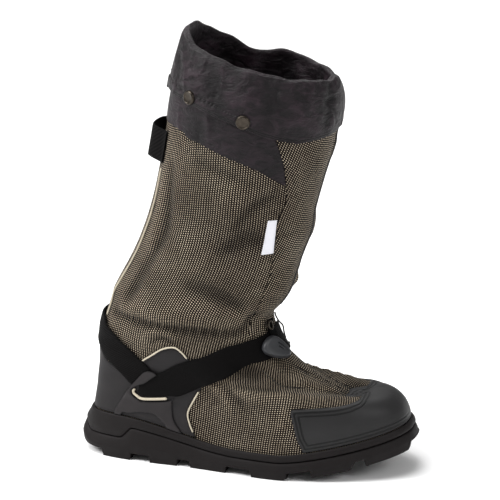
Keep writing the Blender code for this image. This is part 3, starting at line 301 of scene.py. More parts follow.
def surface(turn, row):
    """Points of the weave's outer face: a rounded loop at each row, laid on the row's slanting plane."""
    turn, row = np.broadcast_arrays(np.asarray(turn, float), np.asarray(row, float))
    q = section_at(row)
    share, across = plan_shares(turn, q["back_round"], q["front_round"])
    x = q["back"] + (q["front"] - q["back"]) * share
    sway = TOE_SWING * q["footed"] * ease((share - 0.55) / 0.45)
    y = sway - across * half_width(share, across, q["heel"], q["ball"], q["footed"])
    slanting = q["back_z"] + (q["front_z"] - q["back_z"]) * share ** (1.0 + 0.6 * q["footed"])
    on_sole = feather_height((x - HEEL_BACK_X) / SOLE_LENGTH) + q["lift"]
    z = on_sole + (slanting - on_sole) * np.clip(q["plane"], 0.0, 1.0)
    return np.stack([x, y, z], axis=-1)


def normals(turn, row):
    """Outward unit normals, from differences of the surface."""
    turn, row = np.broadcast_arrays(np.asarray(turn, float), np.asarray(row, float))
    up = surface(turn, np.minimum(row + 0.12, RIM_ROW)) - surface(turn, np.maximum(row - 0.12, 0.0))
    out = np.cross(surface(turn + 0.004, row) - surface(turn - 0.004, row), up)
    return out / np.linalg.norm(out, axis=-1, keepdims=True)


# Creases of the worn cloth: height and half width in millimetres, then the line as turns and rows.
# A minus height is a trough. The outer side's follow the photograph; the inner side's are like them.
OUTER_CREASES = (
    (-2.6, 5.0, ((0.124, 19.70), (0.136, 18.30), (0.148, 16.95), (0.140, 15.98), (0.136, 15.15))),
    (1.7, 6.0, ((0.100, 19.20), (0.110, 17.60), (0.118, 16.20))),
    (-1.7, 5.0, ((0.193, 20.23), (0.248, 20.08), (0.298, 19.90))),
    (-2.3, 5.0, ((0.353, 19.55), (0.329, 19.35), (0.309, 18.93), (0.288, 18.00))),
    (-3.2, 7.0, ((0.340, 17.62), (0.314, 17.57), (0.280, 16.93))),
    (-2.6, 6.0, ((0.240, 14.93), (0.292, 14.78), (0.352, 14.20))),
    (2.3, 6.5, ((0.230, 13.90), (0.290, 13.70), (0.360, 13.30))),
    (-2.9, 6.0, ((0.134, 14.90), (0.134, 13.93), (0.133, 12.90))),
    (2.9, 7.5, ((0.130, 12.20), (0.200, 12.45), (0.290, 12.85), (0.365, 13.10))),
    (-3.4, 4.5, ((0.105, 11.40), (0.159, 11.50), (0.214, 11.62), (0.288, 11.93), (0.372, 12.30), (0.409, 13.45))),
    (2.0, 3.0, ((0.176, 10.00), (0.190, 10.80), (0.212, 11.20), (0.234, 11.00))),
    (-2.0, 2.6, ((0.188, 9.70), (0.200, 10.30), (0.214, 10.55), (0.226, 10.30))),
    (-3.7, 7.0, ((0.318, 9.40), (0.331, 9.10), (0.347, 8.90))),
    (2.2, 4.0, ((0.233, 5.78), (0.240, 5.43), (0.245, 4.75), (0.247, 4.03))),
    (-1.4, 4.0, ((0.255, 5.60), (0.262, 4.80), (0.264, 4.00))),
    (2.2, 3.5, ((0.263, 5.43), (0.283, 5.35), (0.328, 5.83))),
    (-1.9, 3.5, ((0.275, 6.20), (0.305, 6.40), (0.330, 6.70))),
    (1.9, 1.7, ((0.335, 6.00), (0.323, 5.15))),
    (1.7, 1.7, ((0.347, 6.10), (0.334, 5.20))),
    (1.7, 1.6, ((0.360, 5.88), (0.349, 5.10))),
    (1.6, 1.6, ((0.374, 5.75), (0.362, 4.95))),
    (1.4, 1.6, ((0.392, 5.75), (0.379, 5.00))),
    (1.4, 3.5, ((0.311, 4.60), (0.303, 3.75), (0.297, 2.78))),
    (2.9, 6.0, ((0.440, 8.90), (0.462, 8.30), (0.480, 7.70))),
    (3.5, 5.5, ((0.410, 8.70), (0.425, 8.10), (0.440, 7.60))),
)
FRONT_CREASES = (
    (-5.5, 11.0, ((0.470, 6.55), (0.500, 6.55), (0.530, 6.55))),
    (3.2, 6.5, ((0.535, 18.60), (0.540, 18.00), (0.540, 17.50))),
    (3.4, 5.0, ((0.525, 15.60), (0.530, 15.20))),
    (-2.0, 6.0, ((0.520, 16.60), (0.540, 16.40))),
)
SEAM_LINES = {
    "vamp_top": ((0.463, 9.90), (0.478, 9.43), (0.484, 8.88), (0.487, 7.90), (0.486, 6.90), (0.484, 5.95)),
    "vamp_side": ((0.367, 9.43), (0.366, 8.65), (0.368, 7.90), (0.396, 7.80), (0.413, 7.72), (0.420, 7.38),
                  (0.447, 7.30), (0.462, 6.75), (0.472, 6.00)),
}


def mirrored(path, shift=0.0):
    """The same line on the inner side, with its rows shifted."""
    return tuple((1.0 - turn, row + shift) for turn, row in path)


def small_creases(seed, count, turn_range, row_range, height, width, length):
    """Random short straight creases: count lines, each of height and half width in millimetres up to the
    given, half ridges and half troughs, length in rows; one turn is taken as 26 rows long."""
    random = np.random.default_rng(seed)
    made = []
    for number in range(count):
        turn, row = random.uniform(*turn_range), random.uniform(*row_range)
        lean, reach = random.uniform(0.0, np.pi), length * random.uniform(0.5, 1.0)
        step = np.array([np.cos(lean) * reach / 26.0, np.sin(lean) * reach])
        bow = np.array([-step[1] / 26.0, step[0] * 26.0]) * random.uniform(-0.15, 0.15)
        line = tuple(tuple((turn, row) + step * s + bow * (1 - 4 * s * s)) for s in (-0.5, 0.0, 0.5))
        made.append(((-1) ** number * height * random.uniform(0.5, 1.0), width * random.uniform(0.6, 1.0), line))
    return tuple(made)


CREASES = OUTER_CREASES + FRONT_CREASES
CREASES += small_creases(4, 26, (0.08, 0.92), (12.5, 20.0), 0.7, 5.0, 2.2)
CREASES += small_creases(5, 12, (0.24, 0.76), (4.0, 10.0), 0.6, 3.5, 1.6)
CREASES += small_creases(6, 30, (0.08, 0.92), (20.6, 23.4), 1.3, 2.4, 1.8)
CREASES += tuple((0.85 * height, 1.1 * width, mirrored(path, 0.25)) for height, width, path in OUTER_CREASES[:23])
CREASES += tuple((-1.7, 1.7, path) for path in SEAM_LINES.values())
CREASES += tuple((-1.7, 1.7, mirrored(path)) for path in SEAM_LINES.values())


def raised(points, creases):
    """Height over the plain surface: for each crease, its height times exp(-(distance / half width)^2),
    fading towards the line's ends."""
    flat = points.reshape(-1, 3)
    total = np.zeros(len(flat))
    for height, width, path in creases:
        line = smooth_path(path, 22)
        at = surface(line[:, 0], line[:, 1])
        fade = np.sin(np.pi * np.linspace(0.12, 0.88, len(at))) ** 0.6
        near = np.linalg.norm(flat - at.mean(axis=0), axis=1) < 0.09 + 0.003 * width
        distance = np.linalg.norm(flat[near, None, :] - at[None, :, :], axis=2) / (0.001 * width)
        total[near] += 0.001 * height * (fade * np.exp(-distance ** 2)).max(axis=1)
    return total.reshape(points.shape[:-1])


def relief(turn, row):
    """Creases plus a slow half-millimetre wave, fading out at the sole."""
    turn, row = np.broadcast_arrays(np.asarray(turn, float), np.asarray(row, float))
    wave = 0.0004 * np.sin(2 * np.pi * 3 * turn + 0.8 * row) * np.sin(2 * np.pi * 2 * turn - 1.1 * row + 1.0)
    return raised(surface(turn, row), CREASES) + wave * ease((row - 2.0) / 4.0)


def skin(turn, row, offset):
    """The creased surface moved out along its normals."""
    return surface(turn, row) + normals(turn, row) * (np.asarray(offset, float) + relief(turn, row))[..., None]


ARC_TURNS = np.linspace(0.0, 1.0, 361)
ARC_ROWS = np.linspace(0.0, RIM_ROW, 151)
arc_grid = surface(*np.meshgrid(ARC_TURNS, ARC_ROWS))
ROUND_ARC = np.cumsum(np.linalg.norm(np.diff(arc_grid, axis=1, prepend=arc_grid[:, :1]), axis=2), axis=1)
UP_ARC = np.cumsum(np.linalg.norm(np.diff(arc_grid, axis=0, prepend=arc_grid[:1]), axis=2), axis=0)


def cloth_place(turn, row, from_toe=False, tilt=0.0, folded=False):
    """Metres round and up the cloth from the heel's or the toe's middle line: arc lengths of the surface.
    tilt turns the threads in radians; folded gives both sides the same pattern."""
    def look_up(table, turn):
        """Bilinear value of a table at turn and row."""
        u = (turn % 1.0) * (len(ARC_TURNS) - 1)
        v = np.clip(row, 0.0, RIM_ROW) / RIM_ROW * (len(ARC_ROWS) - 1)
        i, j = np.minimum(u.astype(int), len(ARC_TURNS) - 2), np.minimum(v.astype(int), len(ARC_ROWS) - 2)
        a, b = u - i, v - j
        return ((table[j, i] * (1 - a) + table[j, i + 1] * a) * (1 - b)
                + (table[j + 1, i] * (1 - a) + table[j + 1, i + 1] * a) * b)

    turn, row = np.broadcast_arrays(np.asarray(turn, float), np.asarray(row, float))
    whole = look_up(ROUND_ARC, np.full(turn.shape, 1.0 - 1e-9))
    round_it = look_up(ROUND_ARC, turn)
    round_it = round_it - whole / 2.0 if from_toe else np.where(turn < 0, round_it - whole, round_it)
    round_it = np.abs(round_it) if folded else round_it
    up = look_up(UP_ARC, turn)
    return np.stack([round_it * np.cos(tilt) - up * np.sin(tilt), round_it * np.sin(tilt) + up * np.cos(tilt)], -1)


def grid_quads(lines, points):
    """Quads of an open grid, numbered line by line."""
    i, j = np.meshgrid(np.arange(lines - 1), np.arange(points - 1), indexing="ij")
    first = (i * points + j).ravel()
    return np.stack([first, first + 1, first + points + 1, first + points], axis=1)


def new_piece(name, points, faces, finishes, replaced=(), crisp=0.7, cloth=None, edge=None, which=None,
              crease=None):
    """Mesh object that rides on the boot. cloth is a UV per corner, edge a distance per vertex, which the
    number of the finish per face. crease is the relief per vertex in millimetres; the finishes paint shade in its
    troughs."""
    mesh = bpy.data.meshes.new(name)
    mesh.from_pydata(np.asarray(points).reshape(-1, 3).tolist(), [], np.asarray(faces).tolist()
                     if isinstance(faces, np.ndarray) else faces)
    for finish in finishes:
        mesh.materials.append(finish)
    if which is not None:
        mesh.polygons.foreach_set("material_index", np.asarray(which, np.int32))
    if cloth is not None:
        mesh.uv_layers.new(name="cloth").data.foreach_set("uv", np.asarray(cloth, np.float32).ravel())
    if edge is not None:
        layer = mesh.attributes.new("edge", "FLOAT", "POINT")
        layer.data.foreach_set("value", np.asarray(edge, np.float32).ravel())
    if crease is not None:
        layer = mesh.attributes.new("crease", "FLOAT", "POINT")
        layer.data.foreach_set("value", np.asarray(crease, np.float32).ravel())
    mesh.update()
    mesh.shade_smooth()
    mesh.set_sharp_from_angle(angle=crisp)
    made = bpy.data.objects.new(name, mesh)
    bpy.context.scene.collection.objects.link(made)
    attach(made, "root")
    if replaced:
        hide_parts(*replaced)
    return made


def merge_doubles(piece, distance=0.00001):
    """Join vertices that lie on each other."""
    weld = piece.modifiers.new("weld", "WELD")
    weld.merge_threshold = distance
    applied(piece)


def applied(piece):
    """Replace the piece's mesh by the result of its modifiers."""
    graph = bpy.context.evaluated_depsgraph_get()
    result = bpy.data.meshes.new_from_object(piece.evaluated_get(graph), preserve_all_data_layers=True,
                                             depsgraph=graph)
    piece.modifiers.clear()
    old = piece.data
    piece.data = result
    bpy.data.meshes.remove(old)
    return result


def painted_crease_shade(tree, colour, depth_mm=2.4, strength=0.62):
    """Colour darkened in the relief's troughs as painted shade, and full on ridges."""
    crease = add_node(tree, "Attribute", attribute_name="crease").outputs["Fac"]
    lit = add_node(tree, "MapRange", {0: crease, 1: -depth_mm, 2: 0.7 * depth_mm, 3: 1.0 - strength, 4: 1.0},
                   interpolation_type="SMOOTHSTEP").outputs[0]
    return add_node(tree, "VectorMath", {0: colour, "Scale": lit}, operation="SCALE").outputs[0]


def woven_finish(name, ground, thread, thread_dull, pitch_mm):
    """Coated coarse weave: light yarn knots stand in rows on a dark ground, one each pitch across and up."""
    finish, tree, shader = new_finish(name, ground, 0.82, {"Specular IOR Level": 0.12, "Sheen Weight": 0.03})
    place = add_node(tree, "UVMap", uv_map="cloth").outputs[0]
    drift = add_node(tree, "TexNoise", {"Vector": add_node(tree, "TexCoord").outputs["Object"], "Scale": 45.0,
                                        "Detail": 1.0}).outputs[1]
    drift = add_node(tree, "VectorMath", {0: drift, 1: (0.5, 0.5, 0.5)}, operation="SUBTRACT").outputs[0]
    place = add_node(tree, "VectorMath", {0: drift, 1: (0.0009, 0.0009, 0.0), 2: place},
                     operation="MULTIPLY_ADD").outputs[0]
    split = add_node(tree, "SeparateXYZ", {0: place})
    waves = []
    for axis in (0, 1):
        phase = add_node(tree, "Math", {0: split.outputs[axis], 1: np.pi * 1000.0 / pitch_mm[axis]},
                         operation="MULTIPLY")
        wave = add_node(tree, "Math", {0: phase.outputs[0]}, operation="SINE")
        waves.append(add_node(tree, "Math", {0: wave.outputs[0]}, operation="ABSOLUTE").outputs[0])
    knot = add_node(tree, "Math", {0: waves[0], 1: waves[1]}, operation="MULTIPLY").outputs[0]
    dots = between(tree, knot, 0.70, 0.94)
    yarn = mixed(tree, grainy(tree, 5.0), thread_dull, thread)
    worn = mixed(tree, between(tree, grainy(tree, 38.0, 3.0), 0.35, 0.7), yarn, thread)
    cloth = mixed(tree, dots, mixed(tree, grainy(tree, 24.0), ground, "#17100C"), worn)
    # painted shade: the weave's colour is darkened in the troughs of its creases
    tree.links.new(painted_crease_shade(tree, cloth), shader.inputs["Base Color"])
    emboss(tree, shader, summed(tree, (knot, 0.35), (grainy(tree, 0.8), 0.05)))
    return finish


weave = woven_finish("coated basket weave", "#080504", "#F0DEC2", "#A49178", (2.45, 2.10))
lining, tree, shader = new_finish("brushed dark lining", "#121011", 0.95, {"Sheen Weight": 0.03})
tree.links.new(mixed(tree, grainy(tree, 6.0), "#0E0C0D", "#181516"), shader.inputs["Base Color"])
emboss(tree, shader, summed(tree, (grainy(tree, 0.7), 0.15)))

TURN_STEPS = 300
UPPER_TOP = RIM_ROW - 1.2            # hidden under the cuff, below its sagging rim
turns = np.linspace(-0.5, 0.5, TURN_STEPS + 1)
rows_up = np.concatenate([np.linspace(0.0, THROAT_ROW, 92), np.linspace(THROAT_ROW, UPPER_TOP, 74)[1:]])
rows_down = np.linspace(UPPER_TOP, 0.0, 44)
rows = np.concatenate([rows_up, rows_down, [0.0]])
depth = np.concatenate([np.zeros(len(rows_up)), np.full(len(rows_down), -WALL), [0.0]])
grid_turn, grid_row = np.meshgrid(turns, rows)
shell = skin(grid_turn, grid_row, np.broadcast_to(depth[:, None], grid_turn.shape))
at_edge = grid_row == 0.0
shell[at_edge, 2] = feather_height((shell[at_edge, 0] - HEEL_BACK_X) / SOLE_LENGTH) - CUP_DEPTH + 0.0003
quads = grid_quads(len(rows), len(turns))
cloth = cloth_place(grid_turn, grid_row)
cloth[:, 0] = cloth_place(np.full(len(rows), -0.5 + 1e-6), rows)
cloth[:, -1] = cloth_place(np.full(len(rows), 0.5 - 1e-6), rows)
inner_face = (quads[:, 0] // len(turns)) >= len(rows_up) - 1
# the crease attribute holds the relief, which the weave turns into painted shade in the troughs
upper = new_piece("woven_upper", shell, quads, (weave, lining), ("upper",),
                  cloth=cloth.reshape(-1, 2)[quads], which=inner_face, crease=1000.0 * relief(grid_turn, grid_row))
merge_doubles(upper)


# Seams: dark polyester lockstitch, a row of short stitches pulled into the cloth along each seam.
thread, tree, shader = new_finish("bonded polyester thread", "#100E0D", 0.6)
emboss(tree, shader, summed(tree, (grainy(tree, 0.4), 0.05)))


def stitch_row(name, path, seat, pitch=0.0030, length=0.0023, radius=0.00045, skin_at=skin):
    """Row of stitches: along a line on the cloth, each a capsule whose radius is
    the thread's times sqrt(1 - (2 s)^4) with s from -1/2 to 1/2 along it."""
    line = smooth_path(path, 240)
    at = skin_at(line[:, 0], line[:, 1], np.full(len(line), seat))
    walked = np.concatenate([[0.0], np.cumsum(np.linalg.norm(np.diff(at, axis=0), axis=1))])
    middles = np.arange(pitch / 2.0, walked[-1], pitch)
    s = np.linspace(-0.5, 0.5, 5)
    around = np.linspace(0.0, 2 * np.pi, 7)[:-1]
    where = np.clip(middles[:, None] + s[None, :] * length, 0.0, walked[-1])
    centre = np.stack([np.interp(where, walked, at[:, k]) for k in range(3)], axis=-1)
    line_out = normals(line[:, 0], line[:, 1])
    out = np.stack([np.interp(where, walked, line_out[:, k]) for k in range(3)], axis=-1)
    ahead = centre[:, -1:] - centre[:, :1]
    ahead = ahead / np.linalg.norm(ahead, axis=-1, keepdims=True)
    side = np.cross(ahead, out)
    size = radius * np.sqrt(np.clip(1.0 - (2.0 * s) ** 4, 0.02, 1.0))[None, :, None, None]
    ring = (out[:, :, None, :] * np.cos(around)[None, None, :, None]
            + side[:, :, None, :] * np.sin(around)[None, None, :, None])
    points = centre[:, :, None, :] + size * ring
    count, stations, corners = points.shape[:3]
    i, j = np.meshgrid(np.arange(stations - 1), np.arange(corners), indexing="ij")
    k = (j + 1) % corners
    here, beyond = i * corners, (i + 1) * corners
    one = np.stack([here + j, beyond + j, beyond + k, here + k], axis=-1).reshape(-1, 4)
    first, last = list(range(corners)), list(range((stations - 1) * corners, stations * corners))
    faces = []
    for n in range(count):
        start = n * stations * corners
        faces += (one + start).tolist() + [[start + v for v in first], [start + v for v in last[::-1]]]
    return new_piece(name, points, faces, (thread,))


for seam, path in SEAM_LINES.items():
    stitch_row(seam + "_stitches_outer", path, 0.0002)
    stitch_row(seam + "_stitches_inner", mirrored(path), 0.0002)


# Sole: one lugged outsole of black rubber and a rubber band above it that cups the upper, with a lobe that
# dips beside the heel. Both are moulded and bonded; the moulded sides are matte with a fine spark grain.
GAP = 0.0003
HEEL_GROOVE, FOREFOOT_GROOVE, LOBE_DEPTH = 0.034, 0.0168, 0.0125
LUG_DEPTH, LUG_DRAFT = 0.0072, 0.0012
SIDE_LUGS = ((0.082, 0.170), (0.234, 0.316), (0.360, 0.468), (0.550, 0.652), (0.728, 0.836), (0.877, 0.985))
CENTRE_LUGS = ((0.115, 0.205), (0.255, 0.330), (0.380, 0.455), (0.500, 0.615), (0.665, 0.760), (0.805, 0.915))


def spring(share):
    """Rise of the sole towards the toe."""
    return TOE_SPRING * np.clip((share - 0.62) / 0.38, 0.0, None) ** 1.35


def groove_height(share):
    """Line between outsole and band: eases down under the arch and dips into the heel's lobe."""
    drop = 1.0 - ease((share - 0.13) / 0.37)
    lobe = ease((share - 0.005) / 0.04) * (1.0 - ease((share - 0.140) / 0.045))
    return FOREFOOT_GROOVE + (HEEL_GROOVE - FOREFOOT_GROOVE) * drop + spring(share) - LOBE_DEPTH * lobe


def sole_ring(turns, reach, height, row=1.0):
    """Loop round the sole: the upper's outline at a row plus a reach at the back, toe and sides."""
    back_reach, front_reach, side_reach = reach
    q = section_at(row)
    share, across = plan_shares(turns, q["back_round"], q["front_round"])
    back, front = q["back"] - back_reach, q["front"] + front_reach
    x = back + (front - back) * share
    half = half_width(share, across, q["heel"], q["ball"], q["footed"]) + side_reach
    y = TOE_SWING * q["footed"] * ease((share - 0.55) / 0.45) - across * half
    return np.stack([x, y, height((x - HEEL_BACK_X) / SOLE_LENGTH)], axis=-1)


def lugged(share, lugs):
    """1 on a lug and 0 between lugs, with a drafted wall."""
    share = np.asarray(share, float)
    draft = LUG_DRAFT / SOLE_LENGTH
    rises = [np.clip(np.minimum(share - a + draft, b + draft - share) / draft, 0.0, 1.0) for a, b in lugs]
    return np.max(rises, axis=0)


rubber, tree, shader = new_finish("moulded black rubber", "#1E1B1B", 0.6, {"Specular IOR Level": 0.16})
tree.links.new(mixed(tree, grainy(tree, 30.0, 6.0), "#0E0B0B", "#191515"), shader.inputs["Base Color"])
spread = summed(tree, (grainy(tree, 12.0), 0.25), (grainy(tree, 1.0), 0.1))
matte = add_node(tree, "Math", {0: spread, 1: 0.45}, operation="ADD").outputs[0]
tree.links.new(matte, shader.inputs["Roughness"])
emboss(tree, shader, summed(tree, (grainy(tree, 0.6), 0.05), (grainy(tree, 9.0), 0.12)))

draft = LUG_DRAFT / SOLE_LENGTH
walls = sorted({value for a, b in SIDE_LUGS + CENTRE_LUGS for value in (a - draft, a, b, b + draft)})
even = (1.0 - np.cos(np.pi * np.linspace(0.0, 1.0, 181))) / 2.0
stations = np.unique(np.round(np.concatenate([even, walls]), 6))


def sole_side(share, side, reach):
    """Plan point of the sole at a share of its own length on the outer (-1) or inner (+1) side."""
    q = section_at(1.0)
    back, front = q["back"] - reach[0], q["front"] + reach[1]
    n = np.where(share < 0.5, q["back_round"], q["front_round"])
    across = np.clip(1.0 - np.abs(2.0 * share - 1.0) ** n, 0.0, None) ** (1.0 / n)
    half = half_width(share, -side * across, q["heel"], q["ball"], 1.0) + reach[2]
    sway = TOE_SWING * ease((share - 0.55) / 0.45)
    return back + (front - back) * share, sway + side * across * half


# Levels of the side from the groove down: reach at the back, toe and sides, and share of the way down
SIDE_LEVELS = (((0.0075, 0.0042, 0.0018), 0.0), ((0.0089, 0.0056, 0.0030), 0.03), ((0.0095, 0.0064, 0.0038), 0.08),
               ((0.0110, 0.0074, 0.0044), 0.22), ((0.0126, 0.0084, 0.0052), 0.36), ((0.0135, 0.0090, 0.0058), 0.48),
               ((0.0134, 0.0091, 0.0058), 0.53), ((0.0127, 0.0094, 0.0053), 0.70), ((0.0121, 0.0098, 0.0048), 0.90),
               ((0.0118, 0.0100, 0.0046), 1.0))
ACROSS = np.array([-1.0, -0.90, -0.80, -0.70, -0.59, -0.56, -0.53, -0.45, -0.39, -0.36, -0.33, -0.2, 0.0,
                   0.2, 0.33, 0.36, 0.39, 0.45, 0.53, 0.56, 0.59, 0.70, 0.80, 0.90, 1.0])


def tread_height(share, across, x):
    """Underside: the floor's line under a lug, LUG_DEPTH above it between lugs."""
    real = (x - HEEL_BACK_X) / SOLE_LENGTH
    ground = spring(real) + 0.0016 * (1.0 - ease(share / 0.06))
    side = lugged(share, SIDE_LUGS) * ease((np.abs(across) - 0.53) / 0.03)
    centre = lugged(share, CENTRE_LUGS) * ease((0.39 - np.abs(across)) / 0.03)
    return ground + LUG_DEPTH * (1.0 - np.maximum(side, centre)), ground


columns = []
for side in (-1.0, 1.0):
    wall = []
    for reach, down in SIDE_LEVELS:
        x, y = sole_side(stations, side, reach)
        top = groove_height((x - HEEL_BACK_X) / SOLE_LENGTH) - GAP / 2.0
        foot_z, ground = tread_height(stations, np.full(stations.shape, 1.0), x)
        z = top + (ground - top) * down
        wall.append(np.stack([x, y, np.where(down > 0.6, np.maximum(z, foot_z), z)], axis=-1))
    columns.append(np.array(wall))
outer_low, inner_low = columns[0][-1], columns[1][-1]
under = outer_low[None] + (inner_low - outer_low)[None] * ((ACROSS + 1.0) / 2.0)[:, None, None]
under[..., 2] = tread_height(stations[None, :], ACROSS[:, None], under[..., 0])[0]
lid = columns[1][0][None] + (columns[0][0] - columns[1][0])[None] * np.linspace(0.0, 1.0, 5)[:, None, None]
tube = np.concatenate([columns[0], under[1:-1], columns[1][::-1], lid[1:]])
outsole = new_piece("lugged_outsole", tube, grid_quads(len(tube), len(stations))[:, ::-1], (rubber,),
                    ("outsole",), crisp=0.6)
merge_doubles(outsole, 0.00004)

BAND_LEVELS = (
    ((0.0075, 0.0042, 0.0018), "groove", GAP / 2.0), ((0.0088, 0.0056, 0.0032), "groove", 0.0008),
    ((0.0092, 0.0062, 0.0038), "groove", 0.0018), ((0.0080, 0.0058, 0.0038), "mix", 0.35),
    ((0.0062, 0.0052, 0.0037), "mix", 0.68), ((0.0050, 0.0047, 0.0035), "mix", 0.86),
    ((0.0040, 0.0042, 0.0032), "top", -0.0012), ((0.0036, 0.0038, 0.0028), "top", -0.0004),
    ((0.0030, 0.0032, 0.0022), "top", 0.0), ((0.0016, 0.0018, 0.0012), "top", 0.0),
    ((GAP * 1.4, GAP * 1.4, GAP * 1.4), "top", -0.0003))
band_turns = np.linspace(0.0, 1.0, 361)
band = []
for reach, line, rise_by in BAND_LEVELS:
    if line == "groove":
        band.append(sole_ring(band_turns, reach, lambda s: groove_height(s) + rise_by))
    elif line == "top":
        band.append(sole_ring(band_turns, reach, lambda s: feather_height(s) + rise_by))
    else:
        band.append(sole_ring(band_turns, reach, lambda s: groove_height(s) + 0.0018
                              + (feather_height(s) - 0.0030 - groove_height(s)) * rise_by))
cup = (GAP * 1.4,) * 3
band.append(sole_ring(band_turns, cup, lambda s: feather_height(s) - CUP_DEPTH, row=0.0))
band.insert(0, band[-1] * [1.0, 1.0, 0.0] + band[0] * [0.0, 0.0, 1.0])
band.append(band[0])
band = np.array(band)
midsole = new_piece("cup_band", band, grid_quads(len(band), len(band_turns)), (rubber,),
                    ("midsole",), crisp=0.8)
merge_doubles(midsole, 0.00004)

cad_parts["insole"].data.materials.clear()
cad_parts["insole"].data.materials.append(lining)


# Overlays: panels cut from sheet and sewn on the weave. Each is a piece of the same surface between two
# offsets, trimmed by a side-view outline; its edge is rolled down a little, as a cut and sewn edge is.
def trimmed_layer(name, turns, rows, inner, thickness, outline, height, sides, finish, replaced,
                  cloth_way=None, roll=0.0012):
    """Closed piece of skin: grid between two offsets, intersected with a prism of the outline, then its outer
    face is laid again exactly, lowered near the edge by 0.45 thickness times (1 - distance / roll)^2."""
    grid_turn, grid_row = np.meshgrid(turns, rows)
    low = inner(grid_turn, grid_row) if callable(inner) else np.full(grid_turn.shape, inner)
    points = np.concatenate([skin(grid_turn, grid_row, low + thickness).reshape(-1, 3),
                             skin(grid_turn, grid_row, low).reshape(-1, 3)])
    lines, count = grid_turn.shape
    over = grid_quads(lines, count)
    size = lines * count
    ring = np.concatenate([np.arange(count), np.arange(1, lines) * count + count - 1,
                           (lines - 1) * count + np.arange(count - 2, -1, -1), np.arange(lines - 2, 0, -1) * count])
    after = np.roll(ring, -1)
    border_faces = np.stack([after, ring, ring + size, after + size], axis=1)
    faces = np.concatenate([over, over[:, ::-1] + size, border_faces])
    place = np.tile(np.stack([grid_turn.ravel(), grid_row.ravel()], axis=1), (2, 1))[faces] + 2.0
    place[len(over):] += 40.0
    mesh = bpy.data.meshes.new(name)
    mesh.from_pydata(points.tolist(), [], faces.tolist())
    mesh.uv_layers.new(name="place").data.foreach_set("uv", place.astype(np.float32).ravel())
    blank = bpy.data.objects.new(name + "_blank", mesh)
    bpy.context.scene.collection.objects.link(blank)

    flat = np.stack([along(outline[:, 0]), outline[:, 1] * height], axis=1)
    ahead = np.roll(flat, -1, axis=0)
    if (flat[:, 0] * ahead[:, 1] - ahead[:, 0] * flat[:, 1]).sum() < 0:
        flat = flat[::-1]
    corners = len(flat)
    prism = np.concatenate([np.insert(flat, 1, y, axis=1) for y in sides])
    walls = [[(j + 1) % corners, j, corners + j, corners + (j + 1) % corners] for j in range(corners)]
    solid = bpy.data.meshes.new(name + "_outline")
    near_end, far_end = list(range(corners)), list(range(2 * corners - 1, corners - 1, -1))
    solid.from_pydata(prism.tolist(), [], [near_end, far_end] + walls)
    cutter = bpy.data.objects.new(name + "_outline", solid)
    bpy.context.scene.collection.objects.link(cutter)
    trim = blank.modifiers.new("trim", "BOOLEAN")
    trim.operation, trim.solver, trim.object = "INTERSECT", "EXACT", cutter
    bpy.context.view_layer.update()
    result = applied(blank)
    bpy.data.objects.remove(cutter, do_unlink=True)

    corner_count = len(result.loops)
    where = np.zeros(corner_count * 2, np.float32)
    result.uv_layers["place"].data.foreach_get("uv", where)
    where = where.reshape(-1, 2)
    vertex = np.zeros(corner_count, np.int32)
    result.loops.foreach_get("vertex_index", vertex)
    start, total = np.zeros(len(result.polygons), np.int32), np.zeros(len(result.polygons), np.int32)
    result.polygons.foreach_get("loop_start", start)
    result.polygons.foreach_get("loop_total", total)
    face_of = np.repeat(np.arange(len(total)), total)
    outer_corner = (where[:, 0] > 1.0) & (where[:, 0] < 20.0)
    outer_face = np.bincount(face_of, outer_corner, len(total)) == total
    outside = outer_face[face_of]
    at = np.zeros((len(result.vertices), 2))
    at[vertex[outside]] = where[outside] - 2.0
    is_outer, is_other = np.zeros(len(at), bool), np.zeros(len(at), bool)
    is_outer[vertex[outside]] = True
    is_other[vertex[~outside]] = True
    co = np.zeros(len(at) * 3, np.float32)
    result.vertices.foreach_get("co", co)
    co = co.reshape(-1, 3).astype(float)
    border = co[is_outer & is_other]
    edge = np.zeros(len(at))
    face_points = co[is_outer]
    edge[is_outer] = np.concatenate([np.linalg.norm(part[:, None] - border[None], axis=2).min(axis=1)
                                     for part in np.array_split(face_points, max(1, len(face_points) // 1500))])
    t, r = at[is_outer].T
    base = inner(t, r) if callable(inner) else np.full(t.shape, inner)
    lowered = 0.45 * thickness * np.clip(1.0 - edge[is_outer] / roll, 0.0, 1.0) ** 2
    co[is_outer] = skin(t, r, base + thickness - lowered)
    # relief of the outer face, which the finish turns into painted shade in the troughs
    crease = np.zeros(len(at))
    crease[is_outer] = 1000.0 * relief(t, r)
    polygons = np.split(vertex, start[1:])
    bpy.data.objects.remove(blank, do_unlink=True)
    uv = cloth_place(at[:, 0], at[:, 1], **(cloth_way or {}))[vertex]
    return new_piece(name, co, [list(map(int, polygon)) for polygon in polygons], (finish,), replaced,
                     crisp=0.9, cloth=uv, edge=edge, crease=crease)


def curve_of(*pieces, steps=24):
    """Outline joined from smooth curves, each through its own short list of points."""
    return np.concatenate([smooth_path(piece, steps if len(piece) > 2 else 2) for piece in pieces])


def dense(first, last, steps):
    """Even steps of turn or row."""
    return np.linspace(first, last, steps)


def cut_edge(tree, colour, width_mm=0.9):
    """Colour that turns near black at the piece's cut edge."""
    edge = add_node(tree, "Attribute", attribute_name="edge").outputs["Fac"]
    return mixed(tree, between(tree, edge, 0.0, width_mm * 0.001), "#040304", colour)


def stitched_lines(tree, *distances_mm, width_mm=0.45):
    """Mask of lines that run at set distances inside the piece's edge."""
    edge = add_node(tree, "Attribute", attribute_name="edge").outputs["Fac"]
    total = None
    for distance in distances_mm:
        off = add_node(tree, "Math", {0: edge, 1: distance * 0.001}, operation="SUBTRACT").outputs[0]
        off = add_node(tree, "Math", {0: off}, operation="ABSOLUTE").outputs[0]
        line = between(tree, off, width_mm * 0.001, width_mm * 0.0005)
        if total is not None:
            line = add_node(tree, "Math", {0: total, 1: line}, operation="MAXIMUM").outputs[0]
        total = line
    return total


